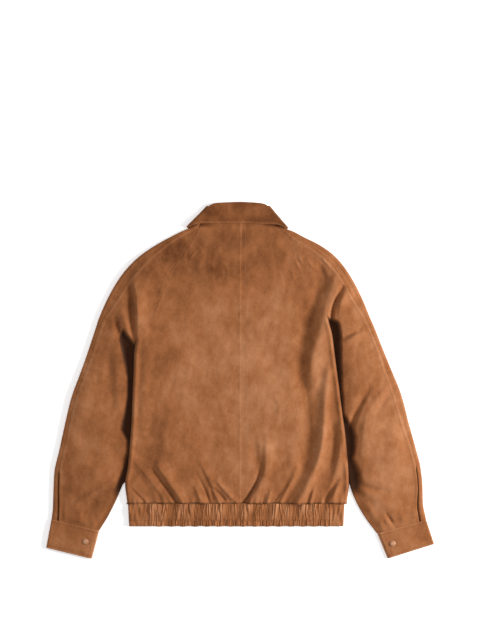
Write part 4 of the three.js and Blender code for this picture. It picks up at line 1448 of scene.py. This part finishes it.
    def build_front(self) -> bpy.types.Object:
        """From the overarm seam it runs over the top, half round the outer edge as an oval of the
        sleeve's height, and flat along the underside to the inner edge.

        Returns:
            The object.
        """
        t = np.linspace(0, self.plan.length, self.sections)[:, None]
        line = self.plan.line(t)
        seam, length = line["seam"], line["length"]
        roll = np.minimum(OUTER_ROLL, seam - 0.5)
        angle = np.linspace(math.pi / 2, -math.pi / 2, 22)[None, :]
        on_top = seam + (roll - seam) * np.linspace(0, 1, 8, endpoint=False)[None, :]
        round_edge = roll * (1 - np.cos(angle))
        below = roll + (length + self.tucked(line["y"]) - roll) * np.linspace(0, 1, 20)[None, 1:]
        from_outer = np.concatenate([on_top, round_edge, below], axis=1)
        distance = length - from_outer
        full, x, y = self.spread(line, distance)
        top = self.top(x, y, distance, full)
        start = on_top.shape[1]
        edge_top = top[:, start - 1:start]
        bottom = leaf_lift(x, y)
        low = leaf_lift(line["x"] + line["dx"] * length, line["y"] + line["dy"] * length)
        middle, half = (edge_top + low) / 2, (edge_top - low) / 2
        oval = middle + half * np.sin(angle)
        creases = np.maximum(0, ripple(x, y, UNDERSLEEVE_WAVES) - 0.6)
        creases = creases * smooth((from_outer - 14) / 20) * smooth((distance - 12) / 20)
        bottom = (bottom + creases)[:, start + angle.shape[1]:]
        z = np.concatenate([top[:, :start], oval, bottom], axis=1)
        grid = points_of(x, y, z)
        name = f"sleeve_front_{self.plan.side.word}"
        seam_dark = np.exp(-np.abs(from_outer - seam) / 2.5) * (np.arange(x.shape[1]) < start + 4)
        tone = nap_and_painted_light_tone(x, y) - 0.06 * seam_dark
        piece = wall(f"{name}_suede", grid, CLOTH, -self.plan.sign, tone)
        dress(piece, BODY_SUEDE, "suede", name)
        return piece

    def stitch(self, stitches: SeamStitches) -> None:
        """Adds the line along the back side of the overarm seam, down to the slit.

        Args:
            stitches: takes the line.
        """
        t = np.linspace(30, self.plan.length - 128, 300)
        line = self.plan.line(t)
        stitches.add(self.place(t, line["length"] - line["seam"] - self.over))


@dataclass
class Collar:
    """The turned-down collar: fall and stand, as one flattened ring round the neck."""

    stitch_in: float = 4.5

    def stations(self, t: np.ndarray) -> dict[str, np.ndarray]:
        """Reads the ring at t, counted in rows of the table.

        Args:
            t: places round the ring.

        Returns:
            Edge, fold and neck points on the outer surface, and the outward direction.
        """
        rows = np.array(COLLAR_ROWS, float)
        knots = np.arange(len(rows), dtype=float)
        read = {name: curve_through(knots, rows[:, k], t) for k, name in enumerate(COLLAR_COLUMNS)}
        angle = np.radians(read["turn"])
        edge = np.stack([read["edge_x"], read["edge_y"]], -1)
        fold = np.stack([read["fold_x"], read["fold_y"]], -1)
        neck = np.stack([read["neck_x"], read["neck_y"]], -1)
        along = unit(fold - edge)
        side = smooth((read["edge_x"] - CENTRE + 8) / 16) * 2 - 1
        aside = np.stack([along[..., 1] * side, -along[..., 0] * side], -1)
        out = np.concatenate([aside * np.cos(angle)[..., None], np.sin(angle)[..., None]], -1)
        half = COLLAR_TOP / 2
        raised = {}
        for name, flat in (("edge", edge), ("fold", fold), ("neck", neck)):
            raised[name] = points_of(flat[..., 0], flat[..., 1], half) + half * out
        return {**raised, "out": out, "turn": angle}

    def fall_grid(self, t: np.ndarray) -> tuple[np.ndarray, np.ndarray]:
        """Outer points of the fall: flat from its outer edge, then half round the fold.

        Args:
            t: places round the ring.

        Returns:
            The points, and how far each is from the outer edge.
        """
        ring = self.stations(t)
        edge, fold, out = ring["edge"][:, None], ring["fold"][:, None], ring["out"][:, None]
        way = fold - edge
        length = np.linalg.norm(way, axis=-1, keepdims=True)
        along = way / length
        start = fold - along * COLLAR_TURN
        share = np.linspace(0, 1, 32, endpoint=False)[None, :, None]
        flat = edge + (start - edge) * share
        distance = (length - COLLAR_TURN) * share
        upper = np.maximum(0, np.sin(ring["turn"]))[:, None, None]
        waves = ripple(flat[..., :1], flat[..., 1:2], COLLAR_WAVES)
        aside = np.abs(flat[..., :1]) / 100
        body = (0.5 + 3.2 * aside**2) * (1 - smooth(share)) ** 0.6
        body = body + 0.8 * bell(distance, 1.8, 1.8)
        lift = (waves * smooth(distance / 8) + body) * upper
        lift = lift + groove(distance, self.stitch_in, 1.3, 0.5)
        flat = flat + out * lift
        angle = np.linspace(0, math.pi, 12)[None, :, None]
        roll = start + out * COLLAR_TURN * (np.cos(angle) - 1) + along * COLLAR_TURN * np.sin(angle)
        far = np.broadcast_to(length, roll.shape[:2] + (1,))
        return np.concatenate([flat, roll], axis=1), np.concatenate([distance, far], axis=1)[..., 0]

    def build_fall(self) -> bpy.types.Object:
        """Returns:
            The object.
        """
        t = np.linspace(0, len(COLLAR_ROWS) - 1, 300)
        grid, distance = self.fall_grid(t)
        # paler along the outer edge: a painted highlight on the fall's rolled edge
        tone = nap_and_painted_light_tone(grid[..., 0], grid[..., 1]) + 0.22 * bell(distance, 1.0, 2.0)
        piece = wall("collar_fall_suede", grid, CLOTH, -1, tone)
        dress(piece, COLLAR_SUEDE, "collar_suede", "collar_fall")
        return piece

    def build_stand(self) -> bpy.types.Object:
        """Returns:
            The object.
        """
        t = np.linspace(0, len(COLLAR_ROWS) - 1, 200)
        ring = self.stations(t)
        along = unit(ring["fold"] - ring["edge"])
        inward = ring["out"] * LEAF_LIFT
        top = ring["fold"] - along * (COLLAR_TURN + FOLD_GAP) - inward
        foot = ring["neck"] - inward
        share = np.linspace(0, 1, 12)[None, :, None]
        grid = foot[:, None] + (top - foot)[:, None] * share
        piece = wall("collar_stand_suede", grid, CLOTH, -1, np.full(grid.shape[:2], -0.04))
        dress(piece, COLLAR_SUEDE, "collar_suede", "collar_stand")
        return piece

    def stitch(self, stitches: SeamStitches) -> None:
        """Adds the line along the fall's outer edge, all the way round.

        Args:
            stitches: takes the line.
        """
        t = np.linspace(0.3, len(COLLAR_ROWS) - 1.3, 400)
        grid, distance = self.fall_grid(t)
        column = np.argmin(np.abs(distance - self.stitch_in), axis=1)
        line = grid[np.arange(len(t)), column]
        stitches.add(line, self.stations(t)["out"])


def band_depth(y: np.ndarray) -> np.ndarray:
    """How far down the band y lies: 0 at its seam, 1 at its bottom fold."""
    return (BAND_SEAM_Y - y) / (BAND_SEAM_Y - BAND_BOTTOM_Y)


@dataclass
class HemBand:
    """The elasticated band: the ruched back, and a plain part round each side."""

    ruche_height: float = 4.2

    def ruches(self, x: np.ndarray, y: np.ndarray) -> np.ndarray:
        """Height of the gathers of the band.

        Rounded ridges with narrow valleys, about 9 mm apart and uneven in spacing, height and
        lean; they are low at the seam and at the stitched channel, and finer below it.

        Args:
            x: places across.
            y: places along.

        Returns:
            The heights.
        """
        share = (x - RUCHED_LEFT) / (RUCHED_RIGHT - RUCHED_LEFT)
        depth = band_depth(y)
        phase = share * RUCHES + 0.42 * np.sin(share * 41) + 0.20 * np.sin(share * 97 + 1)
        phase = phase + 0.3 * np.sin(share * 173)
        lean = 0.6 * np.sin(share * 23 + 0.6) * (depth - 0.3)
        lean = lean + 0.25 * np.sin(share * 61 + 5 * depth)
        ridge = np.abs(np.sin(math.pi * (phase + lean))) ** 0.8
        other = np.abs(np.sin(math.pi * (0.81 * phase + 0.4 * np.sin(share * 131) - lean))) ** 0.8
        ridge = blend(ridge, other, smooth(depth * 2.2 - 0.5 + 0.45 * np.sin(share * 53)))
        uneven = 0.55 + 0.30 * np.sin(share * 37 + 0.5) + 0.22 * np.sin(share * 83 + 3 * depth)
        low = smooth((depth - 0.22) / 0.5 + 0.25 * np.sin(share * 71))
        fade = smooth(depth / 0.06) * (1 - 0.72 * low)
        body = fade * (1 - 0.6 * bell(y, CHANNEL_Y, 2.6))
        fine = 0.8 * np.sin(2 * math.pi * (0.9 * phase + 0.3)) * smooth((CHANNEL_Y + 2 - y) / 4)
        finer = np.sin(2 * math.pi * (phase * 1.9 + 1.2 * depth)) * np.sin(share * 29) ** 2
        fine = fine + 0.5 * finer
        return self.ruche_height * uneven * (0.35 + ridge * (0.1 + 0.9 * body)) + fine

    def profile(self, y: np.ndarray) -> np.ndarray:
        """The band's swell between its seam, its stitched channel and its bottom fold.

        Half a sine wave above the channel and a lower one below it, a narrow valley at the
        channel, and rims that turn down at the seam and at the fold.

        Args:
            y: places along.

        Returns:
            The heights.
        """
        depth = np.clip(band_depth(y), 0, 1)
        upper = 1.2 * np.sin(math.pi * np.clip(depth / 0.77, 0, 1))
        lower = 0.6 * np.sin(math.pi * np.clip((depth - 0.77) / 0.23, 0, 1))
        turn = -1.6 * smooth((depth - 0.95) / 0.05) ** 2
        return upper + lower + turn + groove(y, CHANNEL_Y, 1.4, 0.7) - 1.0 * np.exp(-depth / 0.03)

    def back_grid(self, x: np.ndarray, y: np.ndarray) -> np.ndarray:
        """Outer points of the ruched part, its bottom fold swaying a little.

        Args:
            x: places across.
            y: places along.

        Returns:
            The points.
        """
        z = BAND_TOP - 0.9 + self.profile(y) + self.ruches(x, y)
        sway = 0.9 * np.sin((x - RUCHED_LEFT) / 8.8 * 2.1) * smooth((CHANNEL_Y - y) / 12)
        return points_of(x, y + sway, z)

    def build_back(self) -> bpy.types.Object:
        """Returns:
            The object.
        """
        left, right = RUCHED_LEFT + HALF_SEAM, RUCHED_RIGHT - HALF_SEAM
        x = np.linspace(left, right, 720)[None, :]
        y = np.linspace(BAND_SEAM_Y - SEAM, BAND_BOTTOM_Y, 34)[:, None]
        grid = self.back_grid(x, y)
        inner = grid.copy()
        inner[..., 2] = BAND_INSIDE
        # lighter on the ruches' ridges and darker in their valleys: painted highlight and painted
        # shade
        tone = 0.075 * (self.ruches(x, y) - 1.9) + nap_and_painted_light_tone(x, y)
        # painted shade in the stitched channel
        tone = tone - 0.10 * bell(y, CHANNEL_Y, 1.5)
        piece = wall("hem_band_back_suede", grid, DOUBLE, -1, tone, inner)
        dress(piece, BAND_SUEDE, "band_suede", "hem_band_back")
        return piece

    def plain_path(self, side: Side) -> np.ndarray:
        """Outer path of a plain part: top, half round the side, underside, lap.

        Args:
            side: which part.

        Returns:
            (count, 2) places x, z.
        """
        sign = side.value
        ruched, edge = (RUCHED_LEFT, BAND_LEFT) if side is Side.LEFT else (RUCHED_RIGHT, BAND_RIGHT)
        half = BAND_TOP / 2
        lift = STUD_LIFT if side is Side.LEFT else STUD_LIFT + DOUBLE + 2 * SEAM
        angle = np.linspace(math.pi / 2, -math.pi / 2, 20)
        top_x = np.linspace(ruched + sign * HALF_SEAM, edge - sign * half, 24)[:-1]
        round_x = edge - sign * half * (1 - np.cos(angle))
        under_x = np.linspace(edge - sign * half, CENTRE - sign * LAP, 90)[1:]
        ramp = lift * smooth((70 - sign * (under_x - CENTRE)) / 30)
        x = np.concatenate([top_x, round_x, under_x])
        z = np.concatenate([np.full(top_x.shape, BAND_TOP), half + half * np.sin(angle), ramp])
        return np.stack([x, z], -1)

    def build_plain(self, side: Side) -> bpy.types.Object:
        """Builds a plain part.

        The path is carried down the band; its upper side swells as the ruched part does, with
        a few soft gathers that die out towards the side.

        Args:
            side: which part.

        Returns:
            The object.
        """
        path = self.plain_path(side)
        y = np.linspace(BAND_SEAM_Y - SEAM, BAND_BOTTOM_Y, 34)[:, None]
        x, z = path[None, :, 0], path[None, :, 1]
        over = smooth((z - 5.5) / 2.5)
        ruched = RUCHED_LEFT if side is Side.LEFT else RUCHED_RIGHT
        near = np.exp(-np.abs(x - ruched) / 16)
        down = band_depth(y)
        waves = 0.9 * np.sin(np.abs(x - ruched) / 1.6 + 0.8 + 1.2 * down) * near
        waves = waves + ripple(x, y, BAND_WAVES) * (1 - 0.4 * down)
        lift = over * (self.profile(y) + waves)
        swing = (1.2 - 2.6 * down) * smooth((np.abs(x) - 200) / 30)
        grid = points_of(x + side.value * swing, y, z + lift)
        # painted highlight and shade on the waves, and painted shade in the channel
        tone = nap_and_painted_light_tone(x, y) + 0.05 * waves * over - 0.05 * bell(y, CHANNEL_Y, 1.5)
        name = f"hem_band_{side.word}"
        piece = wall(f"{name}_suede", grid, DOUBLE, -side.value, tone)
        dress(piece, BAND_SUEDE, "band_suede", name)
        return piece

    def stitch(self, stitches: SeamStitches) -> None:
        """Adds the channel's line across the ruched part.

        Args:
            stitches: takes the line.
        """
        x = np.linspace(RUCHED_LEFT + 2, RUCHED_RIGHT - 2, 500)
        stitches.add(self.back_grid(x, np.full_like(x, CHANNEL_Y)))


@dataclass
class Cuff:
    """A barrel cuff: one doubled strip folded round the wrist, its end lapped and studded."""

    side: Side
    upper_out: tuple[float, float]
    upper_in: tuple[float, float]
    lower_out: tuple[float, float]
    lower_in: tuple[float, float]
    stud: tuple[float, float]
    stitch_in: float = 5.5

    @property
    def width(self) -> float:
        """Width of the flattened cuff at its upper edge."""
        return math.dist(self.upper_in, self.upper_out)

    def path(self) -> np.ndarray:
        """Outer path: under layer, inner fold, underside, outer fold, top.

        Returns:
            (count, 2) places across and heights.
        """
        half, turn = CUFF_TOP / 2, CUFF_TURN
        down = np.linspace(math.pi / 2, -math.pi / 2, 16)
        up = np.linspace(-math.pi / 2, math.pi / 2, 18)
        tail = np.linspace(self.width - CUFF_TAIL, self.width - turn, 10)[:-1]
        below = np.linspace(self.width - turn, half, 36)[1:-1]
        over = np.linspace(half, self.width - CUFF_END_GAP, 46)[1:]
        across = np.concatenate([
            tail, self.width - turn * (1 - np.cos(down)), below, half * (1 - np.cos(up)), over,
        ])
        height = np.concatenate([
            np.full(tail.shape, 2 * turn), turn * (1 + np.sin(down)), np.zeros(below.shape),
            half * (1 + np.sin(up)), np.full(over.shape, CUFF_TOP),
        ])
        return np.stack([across, height], -1)

    def place(self, across: np.ndarray, share: np.ndarray) -> tuple[np.ndarray, np.ndarray]:
        """Plan position of a point, read straight between the cuff's four corners.

        Args:
            across: distance from the outer end of the cuff's width.
            share: share of the way down it.

        Returns:
            Its x and y.
        """
        t = across / self.width
        upper = [blend(out, inner, t) for out, inner in zip(self.upper_out, self.upper_in)]
        lower = [blend(out, inner, t) for out, inner in zip(self.lower_out, self.lower_in)]
        return blend(upper[0], lower[0], share), blend(upper[1], lower[1], share)

    def swell(self, across: np.ndarray, share: np.ndarray) -> np.ndarray:
        """Height added on the upper layer.

        Padding inside a turned edge, a valley along the stitches, slow waves, and a ring
        pressed in round the stud.

        Args:
            across: distance from the outer end of the cuff's width.
            share: share of the way down.

        Returns:
            The heights.
        """
        down = share * CUFF_DEPTH
        x, y = self.place(across, share)
        away = np.hypot(x - self.stud[0], y - self.stud[1])
        edge = np.minimum(np.minimum(down, CUFF_DEPTH - down), self.width - CUFF_END_GAP - across)
        pad = 0.9 * smooth(edge / 14)
        rows = groove(edge, self.stitch_in, 1.3, 0.5)
        waves = 0.35 * np.sin(across / 9.0 + 2 * share) * np.sin(math.pi * share)
        press = -1.0 * np.exp(-((away - STUD_RADIUS) ** 2) / 6)
        turned = -0.6 * smooth((2.0 - edge) / 2.0)
        return pad + rows + waves + press + turned

    def top_points(self, across: np.ndarray, share: np.ndarray) -> np.ndarray:
        """Points on the upper layer.

        Args:
            across: distance from the outer end of the cuff's width.
            share: share of the way down.

        Returns:
            The points.
        """
        x, y = self.place(across, share)
        z = CUFF_TOP + self.swell(across, share)
        return points_of(x, y, z)

    def build(self) -> bpy.types.Object:
        """Returns:
            The object.
        """
        path = self.path()
        share = np.linspace(0.004, 1, 40)[:, None]
        across, height = path[None, :, 0], path[None, :, 1]
        x, y = self.place(across, share)
        is_top = np.arange(path.shape[0])[None, :] > path.shape[0] - 50
        over = smooth((height - 5.5) / 2.5) * is_top
        z = height + over * self.swell(across, share)
        grid = points_of(x, y, z)
        edge = np.minimum(share, 1 - share) * CUFF_DEPTH
        # painted highlight along the turned edges and painted shade in the valleys along the
        # stitches
        tone = nap_and_painted_light_tone(x, y) + 0.16 * bell(edge, 1.2, 1.4) - 0.10 * bell(edge, self.stitch_in, 1.4)
        past_end = across - (self.width - CUFF_END_GAP)
        # painted highlight on the upper layer's end edge, and painted light on the under layer
        # beyond it, which the step's shadow would darken
        tone = tone + (0.16 * bell(past_end, -1.0, 1.4) * is_top) + 0.3 * (past_end > 0)
        name = f"cuff_{self.side.word}"
        piece = wall(f"{name}_suede", grid, DOUBLE, self.side.value, tone)
        dress(piece, BODY_SUEDE, "suede", name)
        return piece

    def stitch(self, stitches: SeamStitches) -> None:
        """Adds the lines along the lower edge, up the lapped end and along the upper edge.

        Args:
            stitches: takes the lines.
        """
        inset = self.stitch_in / CUFF_DEPTH
        end = self.width - CUFF_END_GAP - self.stitch_in
        run = np.linspace(6, end, 60)
        for share in (inset, 1 - inset):
            stitches.add(self.top_points(run, np.full_like(run, share)))
        down = np.linspace(inset, 1 - inset, 40)
        stitches.add(self.top_points(np.full_like(down, end), down))


CUFFS = (
    Cuff(Side.LEFT, upper_out=(-415, -306), upper_in=(-310, -331.5),
         lower_out=(-426.8, -369), lower_in=(-326.5, -393.5), stud=(-340.5, -355.5)),
    Cuff(Side.RIGHT, upper_out=(410, -308), upper_in=(302, -337.5),
         lower_out=(427.4, -361), lower_in=(325.2, -393.2), stud=(335.5, -360)),
)


@dataclass
class PressStud:
    """A press stud's cap: a low dome on a flat rim."""

    name: str
    x: float
    y: float
    z: float
    height: float
    faces_up: bool = True
    bulge: float = 0.65
    around: int = 48

    def build(self) -> bpy.types.Object:
        """Builds the cap as a profile turned about its axis.

        The profile runs from the top of the dome over the rim to the flat back; its first
        and last rings shrink almost to a point.

        Returns:
            The object.
        """
        radius, height = STUD_RADIUS, self.height
        angle = np.linspace(0, math.pi / 2, 12)
        dome_r = (radius - 1.2) * np.sin(angle) + 0.002 * np.cos(angle)
        dome_z = height * (0.35 + self.bulge * np.cos(angle))
        rim_r = np.array([radius - 0.9, radius - 0.2, radius, radius - 0.3])
        rim_z = height * np.array([0.30, 0.30, 0.15, 0.0])
        r = np.concatenate([dome_r, rim_r, [radius * 0.5, 0.002]])
        z = np.concatenate([dome_z, rim_z, [0.0, 0.0]])
        if not self.faces_up:
            z = height - z
        turn = np.linspace(0, 2 * math.pi, self.around, endpoint=False)[:, None]
        points = points_of(self.x + r * np.cos(turn), self.y + r * np.sin(turn), self.z + z)
        quads = grid_quads(self.around + 1, len(r)) % (self.around * len(r))
        if self.faces_up:
            quads = quads[:, ::-1]
        # painted highlight on the dome's middle; at the rim it falls below zero and the plain
        # enamel shows
        dome_highlight = 0.5 * bell(r, 0, 0.5 * radius) - 0.6 * bell(r - radius, -0.8, 0.6)
        tone = np.broadcast_to(dome_highlight, (self.around, len(r)))
        piece = add_mesh(f"{self.name}_cap", points.reshape(-1, 3), quads, tone)
        return dress(piece, StudMetal(), "stud", self.name)


# The soft lights: name, place and side in metres, power in watts.
LAMPS = (
    ("key", (3.1, 0.15, 1.5), 1.3, 180),
    ("fill", (-1.6, 1.0, 2.6), 2.2, 22),
    ("overhead", (0.3, 0.1, 3.6), 3.0, 26),
)


@dataclass
class Studio:
    """Pale floor, soft light from the wearer's right, and the camera straight above."""

    view_height: float = 1.408
    middle_y: float = 0.132
    lens: float = 100.0
    sensor: float = 36.0
    jacket_height: float = 0.008
    floor_size: float = 6.0
    floor_drop: float = 0.0004
    floor_glow: float = 0.30
    sky: float = 0.30

    def floor(self) -> None:
        """A pale plane under the jacket."""
        mesh = bpy.data.meshes.new("floor")
        size = self.floor_size
        corners = [(-size, -size, 0), (size, -size, 0), (size, size, 0), (-size, size, 0)]
        mesh.from_pydata(corners, [], [(0, 1, 2, 3)])
        floor = add_object("floor", mesh)
        shader = Shader("floor")
        surface = shader.node("BsdfPrincipled", None, {
            "Base Color": (0.93, 0.93, 0.93, 1), "Roughness": 0.9,
            "Emission Color": (1, 1, 1, 1), "Emission Strength": self.floor_glow,
        })
        mesh.materials.append(shader.finish(surface))
        floor.location.z = -self.floor_drop

    def light(self, name: str, place: tuple[float, float, float], size: float,
              power: float) -> None:
        """A square soft light that looks at the jacket.

        Args:
            name: its name.
            place: where it stands, in metres.
            size: its side, in metres.
            power: in watts.
        """
        data = bpy.data.lights.new(name, "AREA")
        data.size = size
        data.energy = power
        lamp = add_object(name, data)
        lamp.location = place
        lamp.rotation_euler = (-Vector(place)).to_track_quat("-Z", "Y").to_euler()

    def camera(self) -> None:
        """A long lens straight above; the photo's frame is the view's height at the jacket."""
        data = bpy.data.cameras.new("camera")
        data.lens, data.sensor_width = self.lens, self.sensor
        camera = add_object("camera", data)
        above = self.view_height * self.lens / self.sensor + self.jacket_height
        camera.location = (0, self.middle_y, above)
        data.clip_end = 50
        bpy.context.scene.camera = camera

    def build(self) -> None:
        """Sets up floor, lights, world and camera."""
        self.floor()
        for lamp in LAMPS:
            self.light(*lamp)
        world = bpy.data.worlds.new("studio")
        world.use_nodes = True
        background = world.node_tree.nodes["Background"]
        background.inputs["Color"].default_value = (1, 1, 1, 1)
        background.inputs["Strength"].default_value = self.sky
        bpy.context.scene.world = world
        bpy.context.scene.view_settings.view_transform = "Standard"
        self.camera()


STUD_ROWS = (265, 150, 35, -80, -195, -296)


def main() -> None:
    """Builds the jacket piece by piece, then the studio."""
    logging.basicConfig(level=logging.INFO, format="%(name)s %(message)s")
    stitches = SeamStitches()
    for side in Side:
        plan = SidePlan(side)
        back, sleeve = BackHalf(plan), Sleeve(plan)
        back.build()
        back.stitch(stitches)
        FrontHalf(plan).build()
        sleeve.build_back()
        sleeve.build_front()
        sleeve.stitch(stitches)
    collar, band = Collar(), HemBand()
    collar.build_fall()
    collar.build_stand()
    collar.stitch(stitches)
    band.build_back()
    for side in Side:
        band.build_plain(side)
    band.stitch(stitches)
    for cuff in CUFFS:
        cuff.build()
        cuff.stitch(stitches)
        x, y = cuff.stud
        PressStud(f"stud_cuff_{cuff.side.word}", x, y, CUFF_TOP + SEAM, 1.8, bulge=1.0).build()
    for order, y in enumerate(STUD_ROWS, 1):
        PressStud(f"stud_front_{order}", CENTRE, y, 0.0, 1.0, faces_up=False).build()
    dress(stitches.build("topstitching"), Thread(), "suede")
    Studio().build()


if __name__ == "__main__":
    main()
